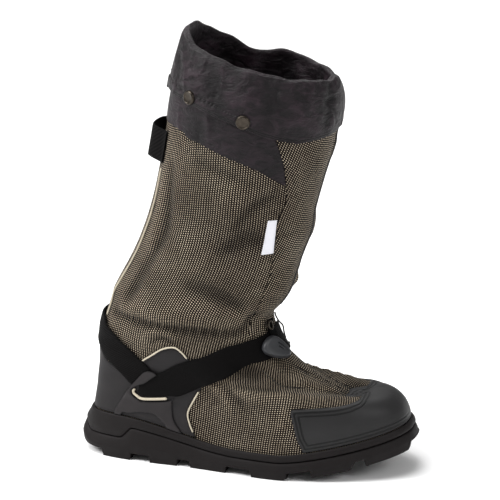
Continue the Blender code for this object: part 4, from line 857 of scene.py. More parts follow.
# Toe cap: thick moulded rubber over the toes, with a raised border that is stitched twice along the edge.
cap_rubber, tree, shader = new_finish("satin toe rubber", "#262526", 0.5, {"Specular IOR Level": 0.26})
lines = stitched_lines(tree, 3.4, 6.9, width_mm=1.1)
body = mixed(tree, grainy(tree, 26.0, 5.0), "#181818", "#232223")
tree.links.new(cut_edge(tree, mixed(tree, lines, body, "#020202"), 1.2), shader.inputs["Base Color"])
emboss(tree, shader, summed(tree, (lines, -1.3), (grainy(tree, 0.7), 0.06), (grainy(tree, 7.0), 0.15)))
CAP_OUTLINE = curve_of(((0.705, 0.0), (0.700, 0.14), (0.6953, 0.211), (0.6797, 0.285), (0.6677, 0.389),
                        (0.6600, 0.445)),
                       ((0.6600, 0.450), (0.6610, 0.464), (0.668, 0.472)),
                       ((0.672, 0.473), (0.7117, 0.478), (0.7775, 0.485), (0.8234, 0.500), (0.842, 0.530),
                        (0.850, 0.70)),
                       ((0.850, 0.75), (1.1, 0.75)), ((1.1, 0.0), (1.05, 0.0)))
trimmed_layer("toe_cap_rubber", dense(0.278, 0.722, 150), dense(1.07, 7.0, 62), GAP, 0.0017, CAP_OUTLINE,
              INSTEP_HEIGHT, (-0.138, 0.138), cap_rubber, ("toe_cap",),
              {"from_toe": True}, roll=0.0016)


# Heel counter: coated synthetic that wraps the heel and rises along both sides, sewn along its edges.
counter, tree, shader = new_finish("coated synthetic leather", "#252425", 0.6, {"Specular IOR Level": 0.18})
tree.links.new(cut_edge(tree, mixed(tree, grainy(tree, 18.0, 6.0), "#161516", "#252223")),
               shader.inputs["Base Color"])
lines = stitched_lines(tree, 2.2, width_mm=0.6)
emboss(tree, shader, summed(tree, (grainy(tree, 0.6), 0.10), (grainy(tree, 4.0), 0.12), (lines, -0.5)))
COUNTER_OUTLINE = curve_of(((-0.02, 0.760), (0.060, 0.745), (0.090, 0.665), (0.115, 0.632), (0.140, 0.618),
                            (0.175, 0.645), (0.212, 0.696), (0.2454, 0.747), (0.2768, 0.799), (0.296, 0.820),
                            (0.309, 0.827), (0.3254, 0.824), (0.3439, 0.793), (0.3639, 0.741), (0.385, 0.655),
                            (0.398, 0.577)),
                           ((0.3975, 0.572), (0.3905, 0.536), (0.3761, 0.478), (0.3594, 0.403), (0.3552, 0.355),
                            (0.3617, 0.292), (0.3733, 0.216), (0.390, 0.10)),
                           ((0.390, 0.0), (0.0, 0.0)), ((-0.02, 0.0), (-0.02, 0.1)), steps=48)
trimmed_layer("heel_counter_panel", dense(-10 / 36, 10 / 36, 150), dense(1.07, 11.0, 90), GAP, 0.0013,
              COUNTER_OUTLINE, INSTEP_HEIGHT, (-0.138, 0.138), counter, ("heel_counter",))


# Straps: black woven webbing that goes round the heel and over the instep, held under the side stays.
webbing, tree, shader = new_finish("black twill webbing", "#0A0909", 0.85,
                                   {"Specular IOR Level": 0.07, "Sheen Weight": 0.01})
place = add_node(tree, "UVMap", uv_map="cloth").outputs[0]
turned = add_node(tree, "Mapping", {"Vector": place, "Rotation": (0.0, 0.0, 1.0)}).outputs[0]
ribs = add_node(tree, "TexWave", {"Vector": turned, "Scale": 1000.0 / 2.1 / 6.283 * 2.0, "Distortion": 0.4,
                                  "Detail": 1.0}).outputs[1]
tree.links.new(mixed(tree, ribs, "#020202", "#0E0C0C"), shader.inputs["Base Color"])
emboss(tree, shader, summed(tree, (ribs, 0.22), (grainy(tree, 0.6), 0.06)))
OVER_COUNTER = 2.0 * GAP + 0.0013
HEEL_STRAP = curve_of(((-0.03, 0.990), (0.060, 0.975), (0.0894, 0.949), (0.0995, 0.905), (0.1273, 0.864),
                       (0.1523, 0.818), (0.1854, 0.765), (0.2169, 0.706), (0.2378, 0.663), (0.2468, 0.640)),
                      ((0.2455, 0.622), (0.2205, 0.584), (0.1925, 0.518)),
                      ((0.178, 0.530), (0.1516, 0.583), (0.1155, 0.643), (0.0859, 0.690), (0.071, 0.744),
                       (0.045, 0.790), (-0.03, 0.815)), steps=32)
trimmed_layer("heel_webbing", dense(-7 / 36, 7 / 36, 120), dense(3.0, 12.0, 80), OVER_COUNTER, 0.0019, HEEL_STRAP,
              INSTEP_HEIGHT, (-0.138, 0.138), webbing, ("heel_strap",),
              {"tilt": 0.75, "folded": True}, roll=0.0008)
INSTEP_STRAP = curve_of(((0.2485, 0.624), (0.2686, 0.634), (0.2902, 0.659), (0.3227, 0.706), (0.3672, 0.751),
                         (0.3995, 0.773), (0.464, 0.840), (0.5228, 0.871), (0.5654, 0.901), (0.580, 0.935),
                         (0.66, 1.0)),
                        ((0.66, 0.785), (0.558, 0.739), (0.5278, 0.722), (0.4726, 0.650), (0.3982, 0.570),
                         (0.3644, 0.526), (0.3265, 0.4835), (0.2945, 0.4785), (0.2245, 0.4575)),
                        ((0.2205, 0.4565), (0.2075, 0.4655), (0.2015, 0.4815), (0.2045, 0.5015)),
                        ((0.205, 0.530), (0.2235, 0.584), (0.2485, 0.622)), steps=32)
trimmed_layer("instep_webbing", dense(4 / 36, 32 / 36, 220), dense(2.0, 14.0, 100), OVER_COUNTER, 0.0019,
              INSTEP_STRAP, INSTEP_HEIGHT, (-0.138, 0.138), webbing, ("instep_strap",),
              {"from_toe": True, "tilt": -0.55, "folded": True}, roll=0.0008)
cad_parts["buckle_strap"].data.materials.clear()
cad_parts["buckle_strap"].data.materials.append(webbing)


# Side stays: smooth synthetic strips that rise from the sole and fold over the straps as their keeper.
stay_finish, tree, shader = new_finish("smooth synthetic stay", "#242122", 0.5, {"Specular IOR Level": 0.2})
tree.links.new(cut_edge(tree, mixed(tree, grainy(tree, 16.0, 5.0), "#191617", "#292526")),
               shader.inputs["Base Color"])
emboss(tree, shader, summed(tree, (grainy(tree, 0.9), 0.04), (grainy(tree, 6.0), 0.14)))
STAY_OUTLINE = curve_of(((0.121, 0.14), (0.121, 0.20), (0.125, 0.320), (0.156, 0.440), (0.181, 0.521),
                         (0.218, 0.618), (0.232, 0.638), (0.245, 0.641), (0.257, 0.635), (0.262, 0.622)),
                        ((0.261, 0.615), (0.243, 0.584), (0.223, 0.549), (0.202, 0.531), (0.187, 0.508),
                         (0.1805, 0.478), (0.190, 0.443), (0.2115, 0.4165)),
                        ((0.216, 0.4175), (0.291, 0.4405), (0.315, 0.470)),
                        ((0.314, 0.466), (0.306, 0.434), (0.306, 0.361), (0.312, 0.300), (0.332, 0.230),
                         (0.340, 0.14)),
                        ((0.296, 0.14), (0.2865, 0.256), (0.276, 0.290), (0.263, 0.318), (0.2455, 0.341),
                         (0.203, 0.337), (0.1686, 0.322), (0.1475, 0.314), (0.141, 0.20), (0.141, 0.14)), steps=30)


def stay_seat(turn, row):
    """Inner offset of a stay: on the counter below, over the webbing above."""
    height = surface(turn, row)[..., 2] / INSTEP_HEIGHT
    return OVER_COUNTER + (0.0019 + GAP) * ease((height - 0.415) / 0.065)


for side, first, last, sides in (("outer", 3 / 36, 8 / 36, (-0.138, 0.0)),
                                 ("inner", 28 / 36, 33 / 36, (0.0, 0.138))):
    trimmed_layer("stay_" + side, dense(first, last, 70), dense(1.07, 7.0, 60), stay_seat, 0.0014, STAY_OUTLINE,
                  INSTEP_HEIGHT, sides, stay_finish, ("side_stay_" + side,), roll=0.0010)


# Front flap: the same weave, cut with its threads level, sewn along the side seam and closed over the
# front. Its free edge is bound in black tape. The gusset behind it bulges past the tape.
FLAP_OUTLINE = curve_of(((0.618, 0.80), (0.6204, 0.775), (0.6277, 0.752), (0.6373, 0.715), (0.6400, 0.668),
                         (0.6365, 0.627), (0.6180, 0.594), (0.6095, 0.550), (0.600, 0.5075), (0.586, 0.452),
                         (0.569, 0.410), (0.548, 0.3754), (0.525, 0.335), (0.520, 0.29)),
                        ((0.90, 0.30), (0.90, 0.80)), steps=60)
trimmed_layer("front_flap_weave", dense(11 / 36, 19 / 36, 100), dense(12.0, 23.0, 120), GAP, 0.0011, FLAP_OUTLINE,
              BOOT_HEIGHT, (-0.138, 0.138), weave, ("front_flap",),
              {"from_toe": True, "tilt": 0.16})
stitch_row("flap_seam_stitches", ((0.376, 19.90), (0.382, 19.36), (0.374, 18.76), (0.373, 17.86), (0.381, 17.02),
                                  (0.391, 15.88), (0.391, 14.98), (0.397, 14.02), (0.402, 12.90)), 0.0009)


def ribbon(name, path, seat, radius, finish, replaced=(), steps=90, squash=1.0, corners=10):
    """Round or flattened band along a line on the cloth: circle times radius, its height times squash,
    closed by tapering both ends with sqrt(1 - e^4)."""
    line = smooth_path(path, steps)
    at = skin(line[:, 0], line[:, 1], np.full(len(line), seat + radius * squash))
    out = normals(line[:, 0], line[:, 1])
    ahead = np.gradient(at, axis=0)
    ahead = ahead / np.linalg.norm(ahead, axis=1, keepdims=True)
    side = np.cross(ahead, out)
    walked = np.concatenate([[0.0], np.cumsum(np.linalg.norm(np.diff(at, axis=0), axis=1))])
    end = np.clip(1.0 - np.minimum(walked, walked[-1] - walked) / (1.5 * radius), 0.0, 1.0)
    size = radius * np.sqrt(np.clip(1.0 - end ** 4, 0.0004, 1.0))
    around = np.linspace(0.0, 2 * np.pi, corners + 1)
    points = (at[:, None] + size[:, None, None] * (squash * out[:, None] * np.cos(around)[None, :, None]
                                                   + side[:, None] * np.sin(around)[None, :, None]))
    metres = np.stack(np.broadcast_arrays(walked[:, None], around[None, :] * radius), axis=-1)
    faces = grid_quads(len(at), corners + 1)[:, ::-1]
    made = new_piece(name, points, faces, (finish,), replaced, cloth=metres.reshape(-1, 2)[faces])
    merge_doubles(made)
    return made


tape, tree, shader = new_finish("black binding tape", "#131112", 0.7, {"Sheen Weight": 0.1})
tree.links.new(mixed(tree, grainy(tree, 1.5), "#0F0D0E", "#1D1A1B"), shader.inputs["Base Color"])
emboss(tree, shader, summed(tree, (grainy(tree, 0.7), 0.08)))
ribbon("flap_binding", ((0.526, 22.80), (0.524, 21.40), (0.520, 19.93), (0.503, 18.60), (0.501, 17.30),
                        (0.500, 16.15), (0.487, 15.00), (0.476, 14.10)), 0.0010, 0.0012, tape,
       squash=0.7)


# Collar panel: the black nylon base under the cuff, sewn into the weave along a slanting seam.
nylon, tree, shader = new_finish("coated black nylon", "#1A1417", 0.5,
                                 {"Specular IOR Level": 0.2, "Sheen Weight": 0.02, "Sheen Roughness": 0.4})


def crumpled(tree, shader, dark, light, trim=None):
    """Creased thin nylon: bump from large, middle and fine wrinkles, the middle ones drawn out, and painted light
    on their ridges and painted shade in their troughs.
    """
    place = add_node(tree, "TexCoord").outputs["Object"]
    drawn = add_node(tree, "Mapping", {"Vector": place, "Rotation": (0.0, 0.35, 0.0), "Scale": (0.45, 0.6, 1.0)})
    middle = add_node(tree, "TexNoise", {"Vector": drawn.outputs[0], "Scale": 150.0, "Detail": 5.0,
                                         "Distortion": 1.2, "Roughness": 0.62}).outputs[0]
    large = grainy(tree, 24.0, 3.0)
    rib = add_node(tree, "TexWave", {"Vector": place, "Scale": 330.0, "Distortion": 2.0},
                   bands_direction="Z").outputs[1]
    # painted light and shade: the colour follows the wrinkles' heights, light on ridges and dark in troughs
    shade = summed(tree, (middle, 0.75), (large, 0.35), (rib, 0.08))
    # painted shade in the relief's troughs on top
    colour = painted_crease_shade(tree, mixed(tree, between(tree, shade, 0.44, 0.80), dark, light), 1.8, 0.7)
    heights = [(middle, 2.4), (large, 1.6), (rib, 0.05)]
    if trim is not None:
        colour = mixed(tree, trim, colour, "#060405")
        heights.append((trim, -0.5))
    tree.links.new(colour, shader.inputs["Base Color"])
    emboss(tree, shader, summed(tree, *heights))


# the two colours are the painted shade and painted light of the wrinkles
crumpled(tree, shader, "#090407", "#291D24")
PANEL_OUTLINE = curve_of(((0.12, 0.800), (0.322, 0.786), (0.370, 0.767), (0.409, 0.758), (0.472, 0.737),
                          (0.549, 0.713), (0.598, 0.690), (0.638, 0.6685)),
                         ((0.6382, 0.670), (0.6355, 0.715), (0.626, 0.752), (0.6186, 0.775), (0.6162, 0.80)),
                         ((0.616, 0.95), (0.12, 0.95)), steps=40)
trimmed_layer("collar_panel_nylon", dense(-14 / 36, 14 / 36, 190), dense(RIM_ROW - 6.0, RIM_ROW - 2.0, 44), GAP,
              0.0008, PANEL_OUTLINE, BOOT_HEIGHT, (-0.138, 0.138), nylon, ("collar_panel",))


# Label: a plain white woven label sewn into the flap's seam, left bare.
label, tree, shader = new_finish("white satin label", "#DCDCE2", 0.7)
tree.links.new(mixed(tree, grainy(tree, 3.0), "#D4D4DB", "#E2E2E8"), shader.inputs["Base Color"])
emboss(tree, shader, summed(tree, (grainy(tree, 0.5), 0.05), (stitched_lines(tree, 1.2), -0.2)))
LABEL_OUTLINE = np.array(((0.5904, 0.589), (0.6125, 0.589), (0.5985, 0.510), (0.5684, 0.5085)))
trimmed_layer("bare_label", dense(12 / 36, 14 / 36, 24), dense(RIM_ROW - 9.0, RIM_ROW - 6.0, 30), GAP, 0.0006,
              LABEL_OUTLINE, BOOT_HEIGHT, (-0.138, 0.0), label, ("side_label",), roll=0.0005)


# Piping: a light cord in a folded tape, sewn into the counter's edges, the keeper's corner and the back.
piping, tree, shader = new_finish("cream piping", "#B9AF9B", 0.6, {"Sheen Weight": 0.1})
tree.links.new(mixed(tree, grainy(tree, 4.0), "#A99F8A", "#C4BAA6"), shader.inputs["Base Color"])
emboss(tree, shader, summed(tree, (grainy(tree, 0.6), 0.06)))


def located(points, height):
    """turn and row of side-view points on the outer side: nearest grid point, then Newton steps."""
    target = np.stack([along(points[:, 0]), points[:, 1] * height], axis=1)
    fine_turn, fine_row = np.meshgrid(np.linspace(0.01, 0.49, 97), np.linspace(1.0, RIM_ROW, 241))
    fine = surface(fine_turn, fine_row)[..., (0, 2)].reshape(-1, 2)
    first = np.linalg.norm(fine[None] - target[:, None], axis=2).argmin(axis=1)
    t, r = fine_turn.ravel()[first], fine_row.ravel()[first]
    for _ in range(20):
        here = surface(t, r)[..., (0, 2)]
        a = (surface(t + 1e-4, r)[..., (0, 2)] - here) / 1e-4
        b = (surface(t, r + 1e-3)[..., (0, 2)] - here) / 1e-3
        miss = target - here
        area = a[:, 0] * b[:, 1] - a[:, 1] * b[:, 0]
        area = np.where(np.abs(area) < 1e-9, 1e-9, area)
        t = np.clip(t + np.clip((miss[:, 0] * b[:, 1] - miss[:, 1] * b[:, 0]) / area, -0.01, 0.01), 0.0, 0.5)
        r = np.clip(r + np.clip((a[:, 0] * miss[:, 1] - a[:, 1] * miss[:, 0]) / area, -0.01, 0.01), 0.0, RIM_ROW)
    return np.stack([t, r], axis=1)


PIPING_RUNS = (
    ("hook", 0.0013, ((0.1955, 0.5035), (0.1905, 0.4895), (0.1918, 0.473), (0.1998, 0.4575), (0.2165, 0.4405),
                      (0.2545, 0.4490), (0.2935, 0.463))),
    ("arc", 0.0008, ((0.222, 0.7125), (0.2454, 0.750), (0.2768, 0.802), (0.296, 0.822), (0.309, 0.829),
                     (0.3254, 0.827), (0.3439, 0.796), (0.3575, 0.760))),
    ("curve", 0.0008, ((0.3895, 0.534), (0.3761, 0.478), (0.3594, 0.403), (0.3552, 0.355), (0.3617, 0.292),
                       (0.3705, 0.245))))
for kind, radius, path in PIPING_RUNS:
    found = located(smooth_path(path, 22), INSTEP_HEIGHT)
    ribbon(f"piping_{kind}_outer_cord", found, 3.0 * GAP + 0.0013, radius, piping,
           (f"piping_{kind}_outer",))
    ribbon(f"piping_{kind}_inner_cord", np.array(mirrored(found)), 3.0 * GAP + 0.0013, radius, piping,
           (f"piping_{kind}_inner",))
ribbon("piping_back_cord", ((0.073, 10.6), (0.074, 13.0), (0.080, 16.0), (0.0885, 19.35)), 2.0 * GAP, 0.0008,
       piping, ("piping_back",), steps=160)


# Pull loop: a short length of the same webbing on the back, box-stitched at both ends.
LOOP_HALF_ROUND, LOOP_REACH, LOOP_STEPS, LOOP_LINES = 0.088, 0.011, 61, 13
loop_turns = np.linspace(-LOOP_HALF_ROUND, LOOP_HALF_ROUND, LOOP_STEPS)
loop_rows = np.linspace(RIM_ROW - 5.45, RIM_ROW - 4.10, LOOP_LINES)
stand = 3.0 * GAP + LOOP_REACH * ease((LOOP_HALF_ROUND - np.abs(loop_turns)) / (0.62 * LOOP_HALF_ROUND))
loop_grid = np.meshgrid(loop_turns, loop_rows)
selvedge = 0.0003 * (np.abs(np.linspace(-1.0, 1.0, LOOP_LINES)) ** 6)[:, None]
sheets = [surface(*loop_grid) + normals(*loop_grid) * (stand[None, :] + lift)[..., None]
          for lift in (0.0019 - selvedge, 0.0 + selvedge)]
tube = np.concatenate([sheets[0], sheets[1][::-1], sheets[0][:1]])
faces = grid_quads(len(tube), len(loop_turns))
metres = np.stack(np.broadcast_arrays(loop_turns[None, :] * 0.42, np.linspace(0, 0.04, len(tube))[:, None]), -1)
first_end = np.arange(2 * LOOP_LINES) * LOOP_STEPS
last_end = first_end + LOOP_STEPS - 1
corner_uv = np.concatenate([metres.reshape(-1, 2)[faces].reshape(-1, 2), np.zeros((4 * LOOP_LINES, 2))])
pull_loop = new_piece("pull_loop_webbing", tube, faces.tolist() + [first_end[::-1].tolist(), last_end.tolist()],
                      (webbing,), ("pull_loop",), cloth=corner_uv)
merge_doubles(pull_loop)


# Cuff: the top of the nylon collar, turned outward over the rim and held by press snaps. It hangs in soft
# folds, its hem is a stitched band, and its inside lines the mouth.
CUFF_THICKNESS = 0.0024
CUFF_CLEAR = 3.0 * GAP + 0.0011
HEM = np.array(((0.0, 2.30), (0.30, 2.36), (0.44, 2.64), (0.52, 2.78), (0.60, 3.00), (0.66, 3.08),
                (0.74, 3.14), (0.84, 2.90), (1.0, 2.60)))
INSIDE = -(WALL + 1.6 * GAP)
CUFF_FOLDS = (
    (-2.6, 7.0, ((0.182, 24.43), (0.196, 23.85), (0.210, 23.30))),
    (2.9, 12.0, ((0.250, 24.40), (0.262, 23.60), (0.268, 23.00))),
    (-2.6, 7.0, ((0.304, 24.58), (0.310, 23.65), (0.303, 22.78))),
    (-2.1, 6.0, ((0.448, 24.50), (0.433, 23.38), (0.420, 22.60))),
    (1.9, 8.0, ((0.380, 24.30), (0.372, 23.30))),
    (-2.6, 6.0, ((0.090, 24.20), (0.100, 23.50))),
    (-1.6, 1.5, ((0.030, 23.20), (0.075, 23.15), (0.148, 23.08), (0.193, 22.98), (0.218, 22.83), (0.241, 22.70))),
    (-2.6, 6.0, ((0.620, 24.40), (0.640, 23.50))),
    (2.6, 9.0, ((0.700, 24.20), (0.710, 23.20))),
    (-2.6, 6.0, ((0.790, 24.40), (0.780, 23.40))),
    (-1.6, 1.5, ((0.759, 22.70), (0.807, 22.98), (0.852, 23.08), (0.925, 23.15), (0.970, 23.20))),
)
CUFF_FOLDS += small_creases(11, 46, (0.0, 1.0), (22.4, 24.7), 1.1, 2.6, 2.0)
INNER_FOLDS = (
    (5.0, 7.0, ((0.905, 24.30), (0.895, 22.60), (0.890, 20.50))),
    (-2.0, 6.0, ((0.860, 24.20), (0.850, 22.60))),
    (6.0, 8.0, ((0.790, 24.40), (0.800, 22.80), (0.815, 21.20))),
    (5.0, 7.0, ((0.690, 24.20), (0.670, 23.00), (0.640, 21.50))),
    (-2.0, 7.0, ((0.740, 24.20), (0.735, 22.60))),
    (5.5, 7.0, ((0.590, 24.40), (0.600, 23.00), (0.610, 21.50))),
)


# how far the rim hangs below the plain one, in millimetres, read off the photograph
RIM_SAG = np.array(((0.0, -1.0), (0.05, 3.0), (0.10, 8.0), (0.15, 9.0), (0.20, 8.0), (0.25, 6.0), (0.30, 4.0),
                    (0.35, 0.5), (0.40, -1.5), (0.45, -3.0), (0.50, -3.0), (0.55, -2.0), (0.60, 0.0), (0.65, 3.0),
                    (0.70, 2.0), (0.75, 8.0), (0.78, 14.0), (0.80, 17.0), (0.85, 12.0), (0.90, 6.5), (0.95, 2.0),
                    (1.0, -1.0)))


def hem_row(turn):
    """Row of the cuff's lower edge."""
    return RIM_ROW - np.interp(1.0 - np.abs(1.0 - 2.0 * (turn % 1.0)), HEM[:, 0], HEM[:, 1])


def cuff_point(turn, row, offset, inside=False):
    """The plain surface moved out by the offset and the cuff's folds; the rim sags by the table."""
    plain = surface(turn, row)
    folds = raised(plain, INNER_FOLDS) * -1.0 if inside else raised(plain, CUFF_FOLDS)
    folds = np.where(offset < 0.0, folds + np.minimum(relief(turn, row), 0.0), folds)
    puff = 0.0 if inside else 0.0006 * np.sin(2 * np.pi * 5 * turn + 2.0 * row)
    placed = plain + normals(turn, row) * (offset + folds + puff)[..., None]
    near = [np.interp((turn + shift) % 1.0, RIM_SAG[:, 0], RIM_SAG[:, 1]) for shift in (-0.012, 0.0, 0.012)]
    sag = sum(near) / 3.0
    ripple = 0.7 * np.sin(2 * np.pi * 9 * turn + 0.7) + 0.5 * np.sin(2 * np.pi * 17 * turn + 2.0)
    placed[..., 2] -= 0.001 * (sag * ease((row - 22.0) / 2.9) + ripple * ease((row - 23.6) / 1.3))
    return placed


# thickness of the skirt from its hem to the rim: share of the way up and multiple of CUFF_THICKNESS
CUFF_SWELL = ((0.0, 0.06, 0.5, 0.8, 0.95, 1.0), (0.9, 1.25, 1.6, 1.3, 0.6, 0.0))
turns = np.linspace(0.0, 1.0, 541)
hem = hem_row(turns)
down = np.linspace(0.0, 1.0, 44)
outside_rows = hem[None, :] + (RIM_ROW - 0.12 - hem[None, :]) * ease(down)[:, None] ** 0.9
thick = np.interp(down, CUFF_SWELL[0], CUFF_SWELL[1])
over = cuff_point(turns, outside_rows, CUFF_CLEAR + CUFF_THICKNESS * thick[:, None] * np.ones_like(outside_rows))
roll_rows = np.array([RIM_ROW - 0.02, RIM_ROW, RIM_ROW - 0.04])
roll_offsets = np.array([CUFF_CLEAR - 0.6 * CUFF_THICKNESS, -0.2 * CUFF_THICKNESS, INSIDE + 0.1 * CUFF_THICKNESS])
top = cuff_point(*np.broadcast_arrays(turns[None, :], roll_rows[:, None]),
                 roll_offsets[:, None] * np.ones((1, len(turns))))
lining_down = np.linspace(RIM_ROW - 0.15, RIM_ROW - 7.5, 40)
grid_turn, grid_row = np.meshgrid(turns, lining_down)
lining_offset = INSIDE - CUFF_THICKNESS * np.interp(lining_down, (17.5, 21.0, 24.2, 24.85), (0.3, 0.4, 0.5, 0.1))
fade_in = ease((RIM_ROW - 0.1 - grid_row) / 1.2)
mouth = cuff_point(grid_turn, grid_row, lining_offset[:, None] * np.ones_like(grid_turn))
folded = cuff_point(grid_turn, grid_row, lining_offset[:, None] * np.ones_like(grid_turn), inside=True)
mouth = mouth + (folded - mouth) * fade_in[..., None]
back_up = np.linspace(RIM_ROW - 7.5, RIM_ROW - 0.6, 12)
grid_turn, grid_row = np.meshgrid(turns, back_up)
hidden = cuff_point(grid_turn, grid_row, np.full(grid_turn.shape, INSIDE))
one_ring = np.ones((1, len(turns)))
across_top = cuff_point(turns * one_ring, (RIM_ROW - 0.55) * one_ring, CUFF_CLEAR * one_ring)
skirt_rows = hem[None, :] + (RIM_ROW - 0.9 - hem[None, :]) * np.linspace(1.0, 0.0, 10)[:, None]
skirt = cuff_point(np.broadcast_to(turns, skirt_rows.shape), skirt_rows, np.full(skirt_rows.shape, CUFF_CLEAR))
ring = np.concatenate([over, top, mouth, hidden, across_top, skirt, over[:1]])
quads = grid_quads(len(ring), len(turns))
hem_distance = np.concatenate([np.linalg.norm(over - over[:1], axis=2).ravel(),
                               np.full((len(ring) - len(over)) * len(turns), 0.05)])
cuff_nylon, tree, shader = new_finish("coated black nylon with a stitched hem", "#1A1417", 0.5,
                                      {"Specular IOR Level": 0.2, "Sheen Weight": 0.02, "Sheen Roughness": 0.4})
# the two colours are the painted shade and painted light of the wrinkles
crumpled(tree, shader, "#090407", "#291D24", stitched_lines(tree, 1.8, 3.6, width_mm=0.7))
cuff_cloth = cloth_place(np.broadcast_to(turns, ring.shape[:2]), np.full(ring.shape[:2], 22.0))
# relief of the cuff's folds, which the finish turns into painted shade in the troughs
cuff_crease = np.zeros(ring.shape[:2])
cuff_crease[:len(over)] = 1000.0 * raised(surface(turns, outside_rows), CUFF_FOLDS)
within = slice(len(over) + len(top), len(over) + len(top) + len(mouth))
cuff_crease[within] = 500.0 * raised(surface(*np.meshgrid(turns, lining_down)), INNER_FOLDS)
cuff = new_piece("nylon_cuff", ring, quads, (cuff_nylon,), ("cuff",), crisp=1.1,
                 cloth=cuff_cloth.reshape(-1, 2)[quads],
                 edge=hem_distance, crease=cuff_crease)
merge_doubles(cuff, 0.00003)


def on_cuff(turn, row, offset):
    """Points on the cuff's own outer face plus an offset."""
    share = np.clip((row - hem_row(turn)) / (RIM_ROW - 0.12 - hem_row(turn)), 0.0, 1.0)
    face = np.interp(share, CUFF_SWELL[0], CUFF_SWELL[1])
    return cuff_point(turn, row, CUFF_CLEAR + CUFF_THICKNESS * face + offset)


stitch_row("cuff_band_stitches_outer", ((0.020, 23.22), (0.075, 23.15), (0.148, 23.08), (0.193, 22.98),
                                        (0.218, 22.83), (0.241, 22.70), (0.280, 22.60)), 0.0001, skin_at=on_cuff)
stitch_row("cuff_band_stitches_inner", ((0.720, 22.60), (0.759, 22.70), (0.807, 22.98), (0.852, 23.08),
                                        (0.925, 23.15), (0.980, 23.22)), 0.0001, skin_at=on_cuff)


# Press snaps: dark antique brass caps with a rolled rim, set through the cuff's band, two on each side.
gunmetal, tree, shader = new_finish("antique gunmetal", "#3A342E", 0.3, {"Metallic": 0.9})
tree.links.new(mixed(tree, grainy(tree, 3.5, 5.0), "#231F1B", "#4A433B"), shader.inputs["Base Color"])
emboss(tree, shader, summed(tree, (grainy(tree, 1.2), 0.05)))
SNAPS = ((0.152, RIM_ROW - 2.10), (0.264, RIM_ROW - 2.52), (0.736, RIM_ROW - 2.52), (0.848, RIM_ROW - 2.10))
SNAP_RADIUS, SNAP_HEIGHT = 0.0070, 0.0026
profile = smooth_path(((0.98, -0.35), (1.0, 0.15), (0.97, 0.62), (0.88, 0.92), (0.78, 0.98), (0.70, 0.80),
                       (0.45, 0.68), (0.18, 0.66), (0.0, 0.66)), 34) * [SNAP_RADIUS, SNAP_HEIGHT]
profile = np.concatenate([[[0.0, profile[0, 1]]], profile])
around = np.linspace(0.0, 2 * np.pi, 49)
for number, (turn, row) in enumerate(SNAPS, 1):
    t, r = np.array([turn - 0.014, turn + 0.014, turn, turn]), np.array([row, row, row - 0.28, row + 0.28])
    face = on_cuff(t, r, np.zeros(4))
    centre = face.mean(axis=0)
    up = face[3] - face[2]
    out = np.cross(face[1] - face[0], up)
    out, up = out / np.linalg.norm(out), up / np.linalg.norm(up)
    side = np.cross(up, out)
    ring = (np.cos(around)[None, :, None] * side + np.sin(around)[None, :, None] * up) * profile[:, 0, None, None]
    points = centre + ring + out * profile[:, 1, None, None]
    snap = new_piece(f"press_snap_{number}", points, grid_quads(len(profile), 49), (gunmetal,),
                     (f"cuff_snap_{number}",), crisp=1.2)
    merge_doubles(snap)


# Buckle: a tear-drop cam buckle of grey-black nylon with two curved slots, lying on the instep strap. A
# small wire bail holds it to the folded strap above.
buckle_plastic, tree, shader = new_finish("satin glass-filled nylon", "#2A2B2D", 0.42, {"Specular IOR Level": 0.4})
tree.links.new(mixed(tree, grainy(tree, 8.0, 4.0), "#252628", "#313235"), shader.inputs["Base Color"])
emboss(tree, shader, summed(tree, (grainy(tree, 0.7), 0.03)))
slot_dark, tree, shader = new_finish("shadowed buckle slot", "#0B0B0C", 0.6)
emboss(tree, shader, summed(tree, (grainy(tree, 0.7), 0.03)))
BUCKLE_TURN, BUCKLE_ROW, BUCKLE_TILT = 0.436, 11.10, 0.20
BUCKLE_LENGTH, BUCKLE_WIDTH, BUCKLE_THICKNESS = 0.030, 0.0250, 0.0058
SEAT = 3.0 * GAP + 0.0013 + 0.0019 + 0.0005 + 0.0011 + GAP
TURN_STEP, ROW_STEP = 0.005, 0.2
sides = [surface(BUCKLE_TURN + step, BUCKLE_ROW) for step in (-TURN_STEP, TURN_STEP)]
per_turn = float(np.linalg.norm(sides[1] - sides[0]) / (2.0 * TURN_STEP))
sides = [surface(BUCKLE_TURN, BUCKLE_ROW + step) for step in (-ROW_STEP, ROW_STEP)]
per_row = float(np.linalg.norm(sides[1] - sides[0]) / (2.0 * ROW_STEP))


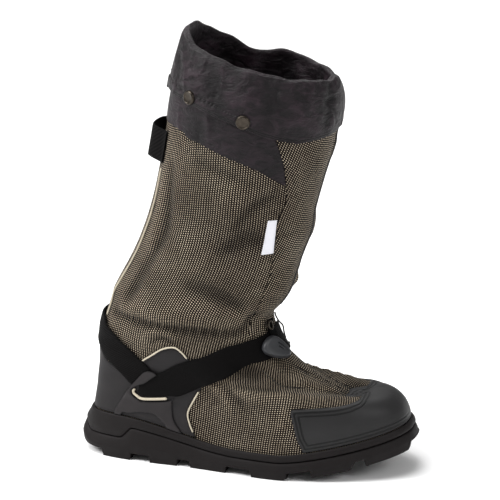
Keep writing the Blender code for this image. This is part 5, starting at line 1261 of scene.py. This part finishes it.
def buckle_points(share, angle, height):
    """Points over the tear-drop outline: share of the way out, angle round it, height over the seat."""
    across = BUCKLE_WIDTH / 2.0 * np.cos(angle) * (1.0 - 0.25 * np.sin(angle)) * share
    length = BUCKLE_LENGTH / 2.0 * np.sin(angle) * share
    u = across * np.cos(BUCKLE_TILT) + length * np.sin(BUCKLE_TILT)
    v = length * np.cos(BUCKLE_TILT) - across * np.sin(BUCKLE_TILT)
    turn, row = BUCKLE_TURN + u / per_turn, BUCKLE_ROW + v / per_row
    return surface(turn, row) + normals(turn, row) * height[..., None]


outline = smooth_path(((0.0, 0.0), (0.5, 0.0), (0.95, 0.0), (1.0, 0.30), (0.97, 0.66), (0.90, 0.90), (0.80, 0.99),
                       (0.60, 1.0), (0.35, 0.97), (0.12, 0.95), (0.0, 0.95)), 60)
angles = np.linspace(0.0, 2 * np.pi, 121)
share, angle = np.broadcast_arrays(outline[:, 0:1], angles[None, :])
height = SEAT + np.clip(outline[:, 1:2], 0.0, 1.0) * BUCKLE_THICKNESS * np.ones_like(angle)
px, py = share * np.cos(angle), share * np.sin(angle)
dent = np.zeros_like(px)
for radius, low, high in ((0.62, -0.35, 1.15), (0.34, -0.10, 1.00)):
    bend = np.arctan2(py + 0.25, px + 0.15)
    off = np.abs(np.hypot(px + 0.15, py + 0.25) - radius - 0.12)
    ends = ease((bend - low) / 0.15) * ease((high - bend) / 0.15)
    dent = np.maximum(dent, np.clip(1.4 - off / 0.05, 0.0, 1.0) * ends)
on_top = (outline[:, 1:2] > 0.8) * np.ones_like(px)
height = height - dent * on_top * 0.0018
points = buckle_points(share, angle, height)
quads = grid_quads(len(outline), len(angles))
dark = (dent * on_top).ravel()[quads].mean(axis=1) > 0.5
buckle = new_piece("tear_drop_buckle", points, quads, (buckle_plastic, slot_dark), ("strap_buckle",),
                   crisp=0.8, which=dark)
merge_doubles(buckle)

bail_angle = np.linspace(0.0, 2 * np.pi, 41)
bail_line = np.stack([0.452 + 0.0075 * np.cos(bail_angle), 12.55 + 0.26 * np.sin(bail_angle)], axis=1)
ribbon("buckle_bail", bail_line, SEAT - 0.0002, 0.0009, gunmetal, steps=120)


# Hem tab: a small folded end of black tape at the back of the cuff's hem.
ribbon("hem_tab", ((0.004, RIM_ROW - 2.62), (0.004, RIM_ROW - 2.30), (0.006, RIM_ROW - 2.05)),
       0.0052, 0.0024, tape,
       squash=0.6)
